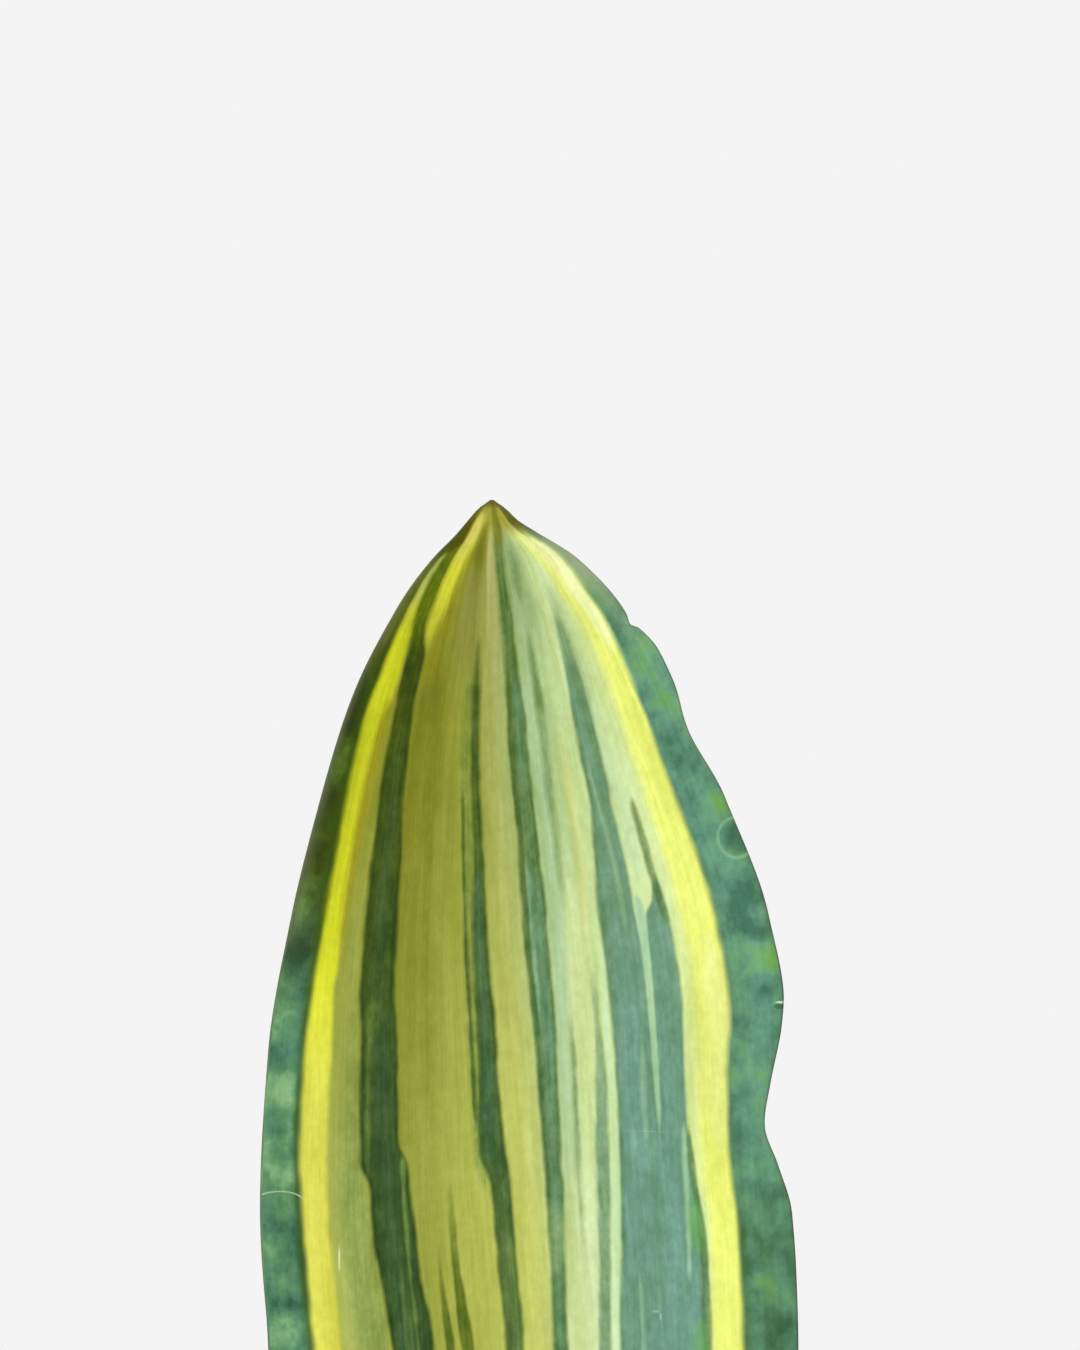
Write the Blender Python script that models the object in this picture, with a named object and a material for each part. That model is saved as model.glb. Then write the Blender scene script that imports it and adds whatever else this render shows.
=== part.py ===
"""A potted snake plant: one broad, paddle-shaped leaf standing in potting soil in a plain clay pot.

Metres, +Z up. The origin is the middle of the pot's foot, on the surface that the pot stands on.
The leaf's hollow face looks along -Y. Heights on the leaf are counted in millimetres below its tip,
and widths in millimetres from the pot's axis, with +X to the right when the hollow face is seen.
"""

import math
import random

import bmesh
import bpy

MM = 0.001
CLEARANCE = 0.3 * MM

# Pot: a turned clay wall with a thicker band at the rim, a recessed floor and one drain hole.
POT_HEIGHT = 0.155
RIM_RADIUS = 0.090
BAND_HEIGHT = 0.034
BAND_FOOT_RADIUS = 0.0862
BAND_STEP = 0.0077
FOOT_RADIUS = 0.060
WALL = 0.0075
LIP = 0.0105
FLOOR = 0.010
FOOT_RING = 0.010
FLOOR_RECESS = 1.5 * MM
DRAIN_RADIUS = 0.011
RIM_ROUND = 3.5 * MM
BAND_ROUND = 2 * MM
FOOT_ROUND = 2.5 * MM
DRAIN_ROUND = 0.8 * MM
FLOOR_ROUND = 6 * MM
BEND_ROUND = 20 * MM
POT_SIDES = 64

# Soil: fills the pot to a little below the rim, heaped slightly round the leaf.
SOIL_DROP = 0.027
SOIL_HEAP = 0.004
SOIL_SIDES = 48
SOIL_RINGS = 9
LUMPS = 42
LUMP_SEED = 5
LUMP_RADIUS_MM = (5, 10)
LUMP_RISE_MM = (-0.6, 1.6)

# Leaf: its height above the soil, and how far its base goes down into it.
LEAF_RISE = 0.502
BASE_DEPTH = 0.055
RING_POINTS = 36
ROW_STEP_MM = 8.0
TIP_ROWS_MM = (0.0, 1.2, 3.0, 5.5, 9.0, 13.0, 18.0, 24.0, 30.0)
NOTCH_MM = 36.2
NOTCH_ROWS_MM = (-2.2, -0.6, 0.6, 2.2, 6.0)
# The base below the soil: (share of its depth, share of its width).
BASE_TAPER = ((0.35, 0.96), (0.7, 0.92), (0.92, 0.89), (1.0, 0.7))

# (mm below the tip, mm from the pot's axis): the midrib, and the two margins without their scallops.
MIDRIB = [
    (0, -15.2), (42, -14.9), (71, -14.6), (99, -12.7), (127, -11.0), (155, -8.4), (183, -6.2),
    (211, -3.8), (240, -1.6), (290, 0.0), (506, 0.0),
]
LEFT_MARGIN = [
    (0, -15.6), (2.5, -19.0), (6, -22.0), (10, -25.3), (17, -32.0), (26, -38.8), (34, -43.6),
    (51, -52.3), (64, -57.2), (85, -63.3), (118, -71.4), (156, -77.8), (199, -79.9), (237, -77.4),
    (262, -73.4), (290, -68.0), (320, -61.0), (350, -53.0), (380, -44.4), (405, -37.4),
    (430, -31.0), (455, -26.0), (480, -22.6), (506, -21.0),
]
RIGHT_MARGIN = [
    (0, -14.8), (2.5, -11.3), (6, -7.7), (9, -3.0), (17, 9.3), (26, 17.2), (34, 24.5), (51, 34.9),
    (64, 41.4), (85, 50.9), (118, 63.0), (140, 66.1), (178, 67.5), (216, 70.3), (240, 70.9),
    (262, 69.8), (300, 65.4), (330, 59.4), (360, 51.0), (390, 41.4), (415, 34.0), (440, 28.2),
    (465, 24.2), (485, 22.0), (506, 21.0),
]
# (mm below the tip, mm outward): a sharp notch near the tip, a long bay lower down, and low waves.
RIGHT_SCALLOPS = [
    (0, 0), (17, 0), (25.5, 1.1), (32.6, -0.3), (35.8, -1.5), (36.8, 0.2), (42.5, 1.8), (51, 1.1),
    (67, -1.8), (84, 0), (118, 0), (139, 0.9), (148, 0), (165, -3.6), (177, -5.6), (188, -2.6),
    (201, 0), (262, 0), (284, -1.8), (304, 0), (506, 0),
]
LEFT_SCALLOPS = [(0, 0), (228, 0), (252, 0.8), (276, -1.2), (300, 0), (506, 0)]
SCALLOP_START = 0.8
# (mm below the tip, mm): the midrib front to back, the channel's depth and the blade's thickness.
SPINE = [(0, 33.0), (40, 31.0), (120, 26.5), (220, 20.5), (320, 13.5), (420, 6.5), (480, 2.0), (506, 0)]
CHANNEL = [
    (0, 0.2), (6, 3.0), (17, 8.0), (30, 12.0), (60, 16.5), (120, 19.0), (200, 18.0), (300, 17.0),
    (400, 15.5), (450, 12.5), (480, 7.0), (496, 2.0), (506, 0),
]
THICKNESS = [
    (0, 1.5), (6, 2.4), (20, 3.2), (60, 4.2), (150, 5.2), (300, 6.6), (400, 9.0), (450, 11.5),
    (490, 14.5), (506, 15.5),
]
# How flat the margins open out again: 0 keeps a plain trough, 1 turns the margins level.
FLANGE = [(0, 0), (60, 0.1), (130, 0.55), (220, 0.75), (330, 0.6), (430, 0.2), (506, 0)]
# Front-to-back ripple of each margin: (mm below the tip, mm).
LEFT_RIPPLE = [(0, 0), (70, -0.8), (135, 1.0), (195, -0.8), (260, 1.4), (330, -0.8), (400, 0), (506, 0)]
RIGHT_RIPPLE = [
    (0, 0), (22, -1.0), (37, 1.6), (66, -1.2), (100, 1.2), (142, -2.4), (178, 3.0), (222, -1.6),
    (290, 2.2), (350, -1.0), (420, 0), (506, 0),
]
RIPPLE_START = 0.45


def smooth_curve(points):
    """A curve through (position, value) points that never overshoots them, as a function."""
    xs = [p[0] for p in points]
    ys = [p[1] for p in points]
    gaps = [b - a for a, b in zip(xs, xs[1:])]
    slopes = [(b - a) / gap for a, b, gap in zip(ys, ys[1:], gaps)]
    tangents = [slopes[0]]
    for before, after in zip(slopes, slopes[1:]):
        turning = before * after <= 0
        tangents.append(0.0 if turning else 2 * before * after / (before + after))
    tangents.append(slopes[-1])

    def value(x):
        x = min(max(x, xs[0]), xs[-1])
        i = max(k for k in range(len(gaps)) if xs[k] <= x)
        t = (x - xs[i]) / gaps[i]
        rise = gaps[i] * (tangents[i] * t * (1 - t) ** 2 - tangents[i + 1] * t * t * (1 - t))
        return ys[i] * (1 - t) ** 2 * (1 + 2 * t) + ys[i + 1] * t * t * (3 - 2 * t) + rise

    return value


MIDRIB_AT = smooth_curve(MIDRIB)
LEFT_AT = smooth_curve(LEFT_MARGIN)
RIGHT_AT = smooth_curve(RIGHT_MARGIN)
LEFT_SCALLOPS_AT = smooth_curve(LEFT_SCALLOPS)
RIGHT_SCALLOPS_AT = smooth_curve(RIGHT_SCALLOPS)
SPINE_AT = smooth_curve(SPINE)
CHANNEL_AT = smooth_curve(CHANNEL)
THICKNESS_AT = smooth_curve(THICKNESS)
FLANGE_AT = smooth_curve(FLANGE)
LEFT_RIPPLE_AT = smooth_curve(LEFT_RIPPLE)
RIGHT_RIPPLE_AT = smooth_curve(RIGHT_RIPPLE)

SOIL_LEVEL = POT_HEIGHT - SOIL_DROP
TIP_HEIGHT = SOIL_LEVEL + SOIL_HEAP + LEAF_RISE
BASE_MM = LEFT_MARGIN[-1][0]


def clear_scene():
    for obj in list(bpy.data.objects):
        bpy.data.objects.remove(obj)


def material(name, colour, roughness):
    """A non-metal Principled material."""
    made = bpy.data.materials.new(name)
    made.use_nodes = True
    shader = made.node_tree.nodes["Principled BSDF"]
    shader.inputs["Base Color"].default_value = (*colour, 1)
    shader.inputs["Roughness"].default_value = roughness
    shader.inputs["Metallic"].default_value = 0.0
    made.diffuse_color = (*colour, 1)
    return made


def add_object(name, bm, surface):
    """Turns bm into an object with its faces pointing out and its round parts shaded smooth."""
    bmesh.ops.recalc_face_normals(bm, faces=bm.faces)
    mesh = bpy.data.meshes.new(name)
    bm.to_mesh(mesh)
    bm.free()
    mesh.shade_smooth()
    mesh.set_sharp_from_angle(angle=math.radians(40))
    mesh.materials.append(surface)
    obj = bpy.data.objects.new(name, mesh)
    bpy.context.scene.collection.objects.link(obj)
    return obj


def skin(rings):
    """A closed body through rings of points, all of one count, with a fan at each end."""
    bm = bmesh.new()
    loops = [[bm.verts.new(p) for p in ring] for ring in rings]
    count = len(loops[0])
    for lower, upper in zip(loops, loops[1:]):
        for k in range(count):
            after = (k + 1) % count
            # The front and the back of a thin blade are split along the same lines, or they would cross.
            if k < count // 2:
                bm.faces.new((lower[k], lower[after], upper[after]))
                bm.faces.new((lower[k], upper[after], upper[k]))
            else:
                bm.faces.new((lower[k], lower[after], upper[k]))
                bm.faces.new((lower[after], upper[after], upper[k]))
    for loop in (loops[0], loops[-1]):
        middle = bm.verts.new(sum((v.co for v in loop), loop[0].co * 0) / count)
        for k in range(count):
            bm.faces.new((loop[k], loop[(k + 1) % count], middle))
    return bm


def filleted(corners):
    """A closed outline of (x, z, fillet radius, steps) corners, with each corner made an arc."""
    points = []
    for i, (x, z, radius, steps) in enumerate(corners):
        if radius == 0:
            points.append((x, z))
            continue
        before, after = corners[i - 1], corners[(i + 1) % len(corners)]
        to_before = math.atan2(before[1] - z, before[0] - x)
        to_after = math.atan2(after[1] - z, after[0] - x)
        opening = math.remainder(to_after - to_before, math.tau)
        reach = radius / math.tan(abs(opening) / 2)
        middle = to_before + opening / 2
        to_centre = radius / math.sin(abs(opening) / 2)
        centre = (x + to_centre * math.cos(middle), z + to_centre * math.sin(middle))
        start = (x + reach * math.cos(to_before), z + reach * math.sin(to_before))
        first = math.atan2(start[1] - centre[1], start[0] - centre[0])
        sweep = -math.copysign(math.pi - abs(opening), opening)
        for k in range(steps + 1):
            angle = first + sweep * k / steps
            points.append((centre[0] + radius * math.cos(angle), centre[1] + radius * math.sin(angle)))
    return points


def inner_corners():
    """The pot's inner corners from the floor up, as (radius, height)."""
    band_foot = POT_HEIGHT - BAND_HEIGHT
    wall_top = BAND_FOOT_RADIUS - BAND_STEP - WALL
    floor_corner = FOOT_RADIUS - WALL
    return (floor_corner, FLOOR), (wall_top, band_foot), (RIM_RADIUS - LIP, POT_HEIGHT)


def build_pot():
    """Turned about Z with the Screw tool: the closed outline runs down the outside and up the inside."""
    band_foot = POT_HEIGHT - BAND_HEIGHT
    floor_corner, wall_top, lip = inner_corners()
    outline = filleted([
        (RIM_RADIUS, POT_HEIGHT, RIM_ROUND, 4),
        (BAND_FOOT_RADIUS, band_foot, BAND_ROUND, 2),
        (BAND_FOOT_RADIUS - BAND_STEP, band_foot - 1.5 * MM, 1.5 * MM, 2),
        (FOOT_RADIUS, 0, FOOT_ROUND, 2),
        (FOOT_RADIUS - FOOT_RING, 0, 0, 0),
        (FOOT_RADIUS - FOOT_RING - FLOOR_RECESS, FLOOR_RECESS, 0, 0),
        (DRAIN_RADIUS, FLOOR_RECESS, DRAIN_ROUND, 1),
        (DRAIN_RADIUS, FLOOR, DRAIN_ROUND, 1),
        (*floor_corner, FLOOR_ROUND, 3),
        (*wall_top, BEND_ROUND, 1),
        (*lip, RIM_ROUND, 4),
    ])
    bm = bmesh.new()
    loop = [bm.verts.new((x, 0, z)) for x, z in outline]
    for a, b in zip(loop, loop[1:] + loop[:1]):
        bm.edges.new((a, b))
    mesh = bpy.data.meshes.new("pot")
    bm.to_mesh(mesh)
    bm.free()
    mesh.materials.append(material("terracotta", (0.52, 0.22, 0.12), 0.85))
    pot = bpy.data.objects.new("pot", mesh)
    bpy.context.scene.collection.objects.link(pot)
    turn = pot.modifiers.new("turn", "SCREW")
    turn.axis = "Z"
    turn.steps = turn.render_steps = POT_SIDES
    turn.use_merge_vertices = True
    turn.merge_threshold = 0.01 * MM
    turn.use_smooth_shade = True
    return pot


def leaf_ring(below_tip, grow=0.0):
    """The leaf's section at a height, as a closed ring: an ellipse bent along the channel.

    The ring's front half comes first. grow widens it all round, for the hole that holds the base.
    """
    rib = MIDRIB_AT(below_tip) * MM
    channel = CHANNEL_AT(below_tip) * MM
    flange = FLANGE_AT(below_tip)
    half_thick = THICKNESS_AT(below_tip) * MM / 2
    spine = SPINE_AT(below_tip) * MM
    ring = []
    for k in range(RING_POINTS):
        angle = math.pi + math.tau * k / RING_POINTS
        across, lift = math.cos(angle), math.sin(angle)
        reach = abs(across)
        if across > 0:
            half = RIGHT_AT(below_tip) * MM - rib
            scallop, ripple = RIGHT_SCALLOPS_AT(below_tip), RIGHT_RIPPLE_AT(below_tip)
        else:
            half = rib - LEFT_AT(below_tip) * MM
            scallop, ripple = -LEFT_SCALLOPS_AT(below_tip), LEFT_RIPPLE_AT(below_tip)
        trough = (1 - flange) * reach**2 + flange * reach**2 * (3 - 2 * reach)
        steepness = (1 - flange) * 2 * reach + flange * 6 * reach * (1 - reach)
        slope = -channel * math.copysign(steepness, across) / half
        length = math.hypot(1, slope)
        x = rib + half * across - lift * half_thick * slope / length
        x += scallop * MM * ease(reach, SCALLOP_START)
        y = spine - channel * trough + lift * half_thick / length
        y += ripple * MM * ease(reach, RIPPLE_START)
        away = (across * (half_thick + CLEARANCE), lift * half)
        size = math.hypot(*away)
        height = TIP_HEIGHT - below_tip * MM
        ring.append((x + grow * away[0] / size, y + grow * away[1] / size, height))
    return ring


def ease(reach, start):
    """Grows from 0 at start to 1 at the margin."""
    return max(0.0, (reach - start) / (1 - start)) ** 2


def leaf_rows():
    """Heights of the leaf's rings, in mm below the tip: close together at the tip and at the notch."""
    rows = list(TIP_ROWS_MM) + [NOTCH_MM + offset for offset in NOTCH_ROWS_MM]
    first = rows[-1]
    count = round((BASE_MM - first) / ROW_STEP_MM)
    rows += [first + (BASE_MM - first) * k / count for k in range(1, count + 1)]
    return rows


def base_rings(depth, grow=0.0):
    """The plain oval base below the soil's surface, from the surface down to depth."""
    top = leaf_ring(BASE_MM, grow)
    rings = []
    for share, narrow in BASE_TAPER:
        rings.append([(x * narrow, y * narrow, top[0][2] - depth * share) for x, y, z in top])
    return rings


def build_leaf():
    rings = [leaf_ring(row) for row in leaf_rows()] + base_rings(BASE_DEPTH)
    return add_object("leaf", skin(rings), material("leaf", (0.36, 0.47, 0.12), 0.42))


def soil_lumps():
    """Low round crumbs heaped on the soil, as (x, y, radius, height)."""
    draw = random.Random(LUMP_SEED)
    lumps = []
    for _ in range(LUMPS):
        distance = (RIM_RADIUS - LIP) * math.sqrt(draw.uniform(0.1, 0.8))
        angle = draw.uniform(0, math.tau)
        radius, height = draw.uniform(*LUMP_RADIUS_MM) * MM, draw.uniform(*LUMP_RISE_MM) * MM
        lumps.append((distance * math.cos(angle), distance * math.sin(angle), radius, height))
    return lumps


def build_soil():
    """Rings from the bottom's edge up the wall, across the top and down the hole that holds the leaf."""
    floor_corner, wall_top, lip = inner_corners()
    flare = (lip[0] - wall_top[0]) / (lip[1] - wall_top[1])
    edge_radius = wall_top[0] + flare * (SOIL_LEVEL - wall_top[1]) - 2 * CLEARANCE
    outside = filleted([
        (0, FLOOR + CLEARANCE, 0, 0),
        (floor_corner[0] - CLEARANCE, FLOOR + CLEARANCE, FLOOR_ROUND + 1 * MM, 3),
        (wall_top[0] - 2 * CLEARANCE, wall_top[1], 0, 0),
        (edge_radius, SOIL_LEVEL, 0, 0),
    ])[1:]
    rings = []
    for radius, height in outside:
        turns = [math.pi + math.tau * k / SOIL_SIDES for k in range(SOIL_SIDES)]
        rings.append([(radius * math.cos(a), radius * math.sin(a), height) for a in turns])
    lumps = soil_lumps()
    hole = resampled(leaf_ring(BASE_MM, CLEARANCE), SOIL_SIDES)
    edge = rings[-1]
    for step in range(1, SOIL_RINGS + 1):
        share = step / SOIL_RINGS
        ring = []
        for (ex, ey, _), (hx, hy, _) in zip(edge, hole):
            x, y = ex + (hx - ex) * share, ey + (hy - ey) * share
            bumps = sum(h * math.exp(-((x - u) ** 2 + (y - v) ** 2) / r**2) for u, v, r, h in lumps)
            fade = min(1.0, 3 * share, 3 * (1 - share) + 0.15)
            heap = SOIL_HEAP * (1 - math.hypot(x, y) / edge_radius)
            ring.append((x, y, SOIL_LEVEL + heap + bumps * fade))
        rings.append(ring)
    well = base_rings(BASE_DEPTH + CLEARANCE, CLEARANCE)
    rings += [resampled(ring, SOIL_SIDES) for ring in well]
    return add_object("soil", skin(rings), material("potting_soil", (0.065, 0.045, 0.03), 0.95))


def resampled(ring, count):
    """A ring of another count of points, each read from the same share of the way round."""
    made = []
    for k in range(count):
        place = k / count * len(ring)
        i, part = int(place), place % 1
        a, b = ring[i], ring[(i + 1) % len(ring)]
        made.append(tuple(u + (v - u) * part for u, v in zip(a, b)))
    return made


clear_scene()
build_pot()
build_soil()
build_leaf()
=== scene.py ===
"""The looks of a potted snake plant: its broad striped leaf, its clay pot and the potting soil.

Metres, +Z up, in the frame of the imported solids. Places on the leaf are counted in millimetres below
its tip, and in millimetres from the pot's axis, with +X to the right when the hollow face is seen.
"""

import math
import random

import bmesh
import bpy
import numpy as np
from mathutils import Euler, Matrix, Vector, noise


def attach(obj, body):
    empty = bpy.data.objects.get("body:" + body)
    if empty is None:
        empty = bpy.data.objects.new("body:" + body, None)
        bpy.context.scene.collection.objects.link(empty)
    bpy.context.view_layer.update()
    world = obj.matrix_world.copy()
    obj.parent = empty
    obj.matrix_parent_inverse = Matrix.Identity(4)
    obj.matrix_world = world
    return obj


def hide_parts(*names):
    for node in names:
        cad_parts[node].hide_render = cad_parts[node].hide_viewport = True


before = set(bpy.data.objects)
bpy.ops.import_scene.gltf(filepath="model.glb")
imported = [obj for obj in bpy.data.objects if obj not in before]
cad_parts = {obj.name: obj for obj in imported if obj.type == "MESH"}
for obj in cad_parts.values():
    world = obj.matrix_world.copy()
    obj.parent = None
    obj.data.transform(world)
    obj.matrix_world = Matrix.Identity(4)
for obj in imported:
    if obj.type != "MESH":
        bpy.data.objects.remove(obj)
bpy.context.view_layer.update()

MM = 0.001
CLEARANCE = 0.3 * MM


def smooth_curve(points):
    """A curve through (position, value) points that never overshoots them, as a function."""
    xs = [p[0] for p in points]
    ys = [p[1] for p in points]
    gaps = [b - a for a, b in zip(xs, xs[1:])]
    slopes = [(b - a) / gap for a, b, gap in zip(ys, ys[1:], gaps)]
    tangents = [slopes[0]]
    for before, after in zip(slopes, slopes[1:]):
        turning = before * after <= 0
        tangents.append(0.0 if turning else 2 * before * after / (before + after))
    tangents.append(slopes[-1])

    def value(x):
        x = min(max(x, xs[0]), xs[-1])
        i = max(k for k in range(len(gaps)) if xs[k] <= x)
        t = (x - xs[i]) / gaps[i]
        rise = gaps[i] * (tangents[i] * t * (1 - t) ** 2 - tangents[i + 1] * t * t * (1 - t))
        return ys[i] * (1 - t) ** 2 * (1 + 2 * t) + ys[i + 1] * t * t * (3 - 2 * t) + rise

    return value


# The photograph's frame: where the leaf's tip and the pot's axis fall in it, and its scale at the leaf.
FRAME_WIDTH_PX, FRAME_HEIGHT_PX = 1080, 1350
TIP_PX_Y = 499
AXIS_PX_X = 545
MM_PER_PX = 0.2814
CAMERA_DISTANCE = 1.25
LEAF_PLANE_Y = 0.008
CAMERA_DROP = 0.7 * MM
# How bright the pale surround is as a light, and as the camera sees it.
SURROUND_LIGHT, SURROUND_SEEN = 0.38, 0.905
STAGE_RADIUS = 2.3
STAGE_DROP = 0.5 * MM

# Pot and soil, as in the solids.
POT_HEIGHT = 0.155
RIM_RADIUS = 0.090
BAND_HEIGHT = 0.034
BAND_FOOT_RADIUS = 0.0862
BAND_STEP = 0.0077
FOOT_RADIUS = 0.060
WALL = 0.0075
LIP = 0.0105
FLOOR = 0.010
FOOT_RING = 0.010
FLOOR_RECESS = 1.5 * MM
DRAIN_RADIUS = 0.011
SOIL_DROP = 0.027
SOIL_HEAP = 0.004
SOIL_LEVEL = POT_HEIGHT - SOIL_DROP
POT_SIDES = 180
POT_STEP = 2.2 * MM
# The clay's turning grooves and slow swells: how deep, how high, and how fast the swells turn.
GROOVE_DEPTH, GROOVE_HEIGHT = 0.12 * MM, 1.9 * MM
SWELL_DEPTH, SWELL_HEIGHT, SWELL_TURN = 0.3 * MM, 0.05, 1.4
# The clay is damp up to DAMP_DROP below the soil's level. Lime has bloomed round a line BLOOM_DROP below
# that level, as far as BLOOM_REACH, and near the foot between these heights.
DAMP_DROP = 0.024
BLOOM_DROP, BLOOM_REACH = 0.010, 0.030
FOOT_BLOOM = (0.004, 0.050)
SOIL_SIDES, SOIL_RINGS = 300, 84
# The soil's unevenness, from clods to crumbs: how wide and how high in mm, and a seed.
SOIL_RELIEF = ((16, 1.7, 3.0), (6.2, 1.1, 7.0), (2.5, 0.7, 11.0))

# Leaf, as in the solids, with a finer net that is finest at the notch in its right margin.
LEAF_RISE = 0.502
TIP_HEIGHT = SOIL_LEVEL + SOIL_HEAP + LEAF_RISE
BASE_MM = 506
BASE_DEPTH = 0.055
BASE_TAPER = ((0.35, 0.96), (0.7, 0.92), (0.92, 0.89), (1.0, 0.7))
LEAF_COLUMNS = 92
LEAF_ROW_MM = 1.3
NOTCH_MM, NOTCH_REACH_MM, NOTCH_ROW_MM = 36.2, 2.2, 0.35
# How far out from the midrib the scallops and the ripple of the margins begin.
SCALLOP_START = 0.8
RIPPLE_START = 0.45
# Faint ridges down the leaf and slow swells in its faces: how wide, long and high in mm, and a seed.
LEAF_RELIEF = ((2.6, 70, 0.07, 0), (11, 30, 0.22, 9))
# The stripes' edges sway by SWAY_SEEN mm, turning over UNSEEN_REACH mm from UNSEEN_FROM down into
# SWAY_UNSEEN mm. The sway's size is how wide and long it is in mm. They also fray, listed as above.
SWAY_SEEN, SWAY_UNSEEN = 0.35, 1.3
SWAY_SIZE = (3.3, 50)
UNSEEN_FROM, UNSEEN_REACH = 230, 70
FRAY = ((2.6, 15, 0.4, 9), (2.0, 6, 0.35, 20))
# Added to the seeds of the relief and of the stripes' edges on the leaf's back.
RELIEF_BACK_SEED, STRAY_BACK_SEED = 40, 50
# Noise that follows the stripes is measured as if the leaf had this half width in mm all the way down,
# and the noise on the back lies this far off.
GRAIN_HALF_WIDTH = 60
BACK_SHIFT = 300
# Where the leaf's ends change colour, from and to, in mm below the tip, and the brown edge's width in mm.
BROWN_TURNS = (4, 12)
BROWN_EDGE_FADES = (3, 9)
BROWN_POINT = (0.6, 3)
DEEP_GREEN = (330, 470)
PALE_BASE = (484, BASE_MM)
BROWN_EDGE = (0.2, 0.85)

# The leaf's shape, as (mm below the tip, value). The values are in mm, from the axis or in depth, and
# FLANGE_AT is the share by which the margins level out.
MIDRIB_AT = smooth_curve([
    (0, -15.2), (42, -14.9), (71, -14.6), (99, -12.7), (127, -11.0), (155, -8.4), (183, -6.2),
    (211, -3.8), (240, -1.6), (290, 0.0), (506, 0.0),
])
LEFT_AT = smooth_curve([
    (0, -15.6), (2.5, -19.0), (6, -22.0), (10, -25.3), (17, -32.0), (26, -38.8), (34, -43.6),
    (51, -52.3), (64, -57.2), (85, -63.3), (118, -71.4), (156, -77.8), (199, -79.9), (237, -77.4),
    (262, -73.4), (290, -68.0), (320, -61.0), (350, -53.0), (380, -44.4), (405, -37.4),
    (430, -31.0), (455, -26.0), (480, -22.6), (506, -21.0),
])
RIGHT_AT = smooth_curve([
    (0, -14.8), (2.5, -11.3), (6, -7.7), (9, -3.0), (17, 9.3), (26, 17.2), (34, 24.5), (51, 34.9),
    (64, 41.4), (85, 50.9), (118, 63.0), (140, 66.1), (178, 67.5), (216, 70.3), (240, 70.9),
    (262, 69.8), (300, 65.4), (330, 59.4), (360, 51.0), (390, 41.4), (415, 34.0), (440, 28.2),
    (465, 24.2), (485, 22.0), (506, 21.0),
])
RIGHT_SCALLOPS_AT = smooth_curve([
    (0, 0), (17, 0), (25.5, 1.1), (32.6, -0.3), (35.8, -1.5), (36.8, 0.2), (42.5, 1.8), (51, 1.1),
    (67, -1.8), (84, 0), (118, 0), (139, 0.9), (148, 0), (165, -3.6), (177, -5.6), (188, -2.6),
    (201, 0), (262, 0), (284, -1.8), (304, 0), (506, 0),
])
LEFT_SCALLOPS_AT = smooth_curve([(0, 0), (228, 0), (252, 0.8), (276, -1.2), (300, 0), (506, 0)])
SPINE_AT = smooth_curve([
    (0, 33.0), (40, 31.0), (120, 26.5), (220, 20.5), (320, 13.5), (420, 6.5), (480, 2.0), (506, 0),
])
CHANNEL_AT = smooth_curve([
    (0, 0.2), (6, 3.0), (17, 8.0), (30, 12.0), (60, 16.5), (120, 19.0), (200, 18.0), (300, 17.0),
    (400, 15.5), (450, 12.5), (480, 7.0), (496, 2.0), (506, 0),
])
THICKNESS_AT = smooth_curve([
    (0, 1.5), (6, 2.4), (20, 3.2), (60, 4.2), (150, 5.2), (300, 6.6), (400, 9.0), (450, 11.5),
    (490, 14.5), (506, 15.5),
])
FLANGE_AT = smooth_curve([(0, 0), (60, 0.1), (130, 0.55), (220, 0.75), (330, 0.6), (430, 0.2), (506, 0)])
LEFT_RIPPLE_AT = smooth_curve([
    (0, 0), (70, -0.8), (135, 1.0), (195, -0.8), (260, 1.4), (330, -0.8), (400, 0), (506, 0),
])
RIGHT_RIPPLE_AT = smooth_curve([
    (0, 0), (22, -1.0), (37, 1.6), (66, -1.2), (100, 1.2), (142, -2.4), (178, 3.0), (222, -1.6),
    (290, 2.2), (350, -1.0), (420, 0), (506, 0),
])


def rgb(red, green, blue):
    """A linear colour from the 0 to 255 numbers of a colour picker."""
    shares = [value / 255 for value in (red, green, blue)]
    linear = [s / 12.92 if s <= 0.04045 else ((s + 0.055) / 1.055) ** 2.4 for s in shares]
    return (*linear, 1.0)


# Colours are red, green and blue from 0 to 255. Places across the leaf are in percent: -100 is the left
# margin, 0 the midrib and 100 the right margin.

# The leaf's ground, as (place across, colour), near the tip and lower down. Partly its own colour and partly
# painted light: painted shade darkens the olive of the hollow's left half, round -48, and a painted sheen
# makes the right half paler and bluer.
GROUND_TOP = [
    (-75, (158, 162, 50)), (-48, (134, 138, 34)), (-20, (150, 157, 56)), (0, (164, 172, 90)),
    (22, (165, 194, 140)), (33, (182, 205, 138)), (42, (198, 219, 154)), (62, (202, 222, 160)),
]
GROUND_LOW = [
    (-72, (176, 186, 80)), (-48, (154, 162, 62)), (-20, (182, 190, 86)), (0, (197, 205, 106)),
    (20, (190, 212, 160)), (32, (208, 228, 154)), (62, (212, 231, 158)),
]

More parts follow.
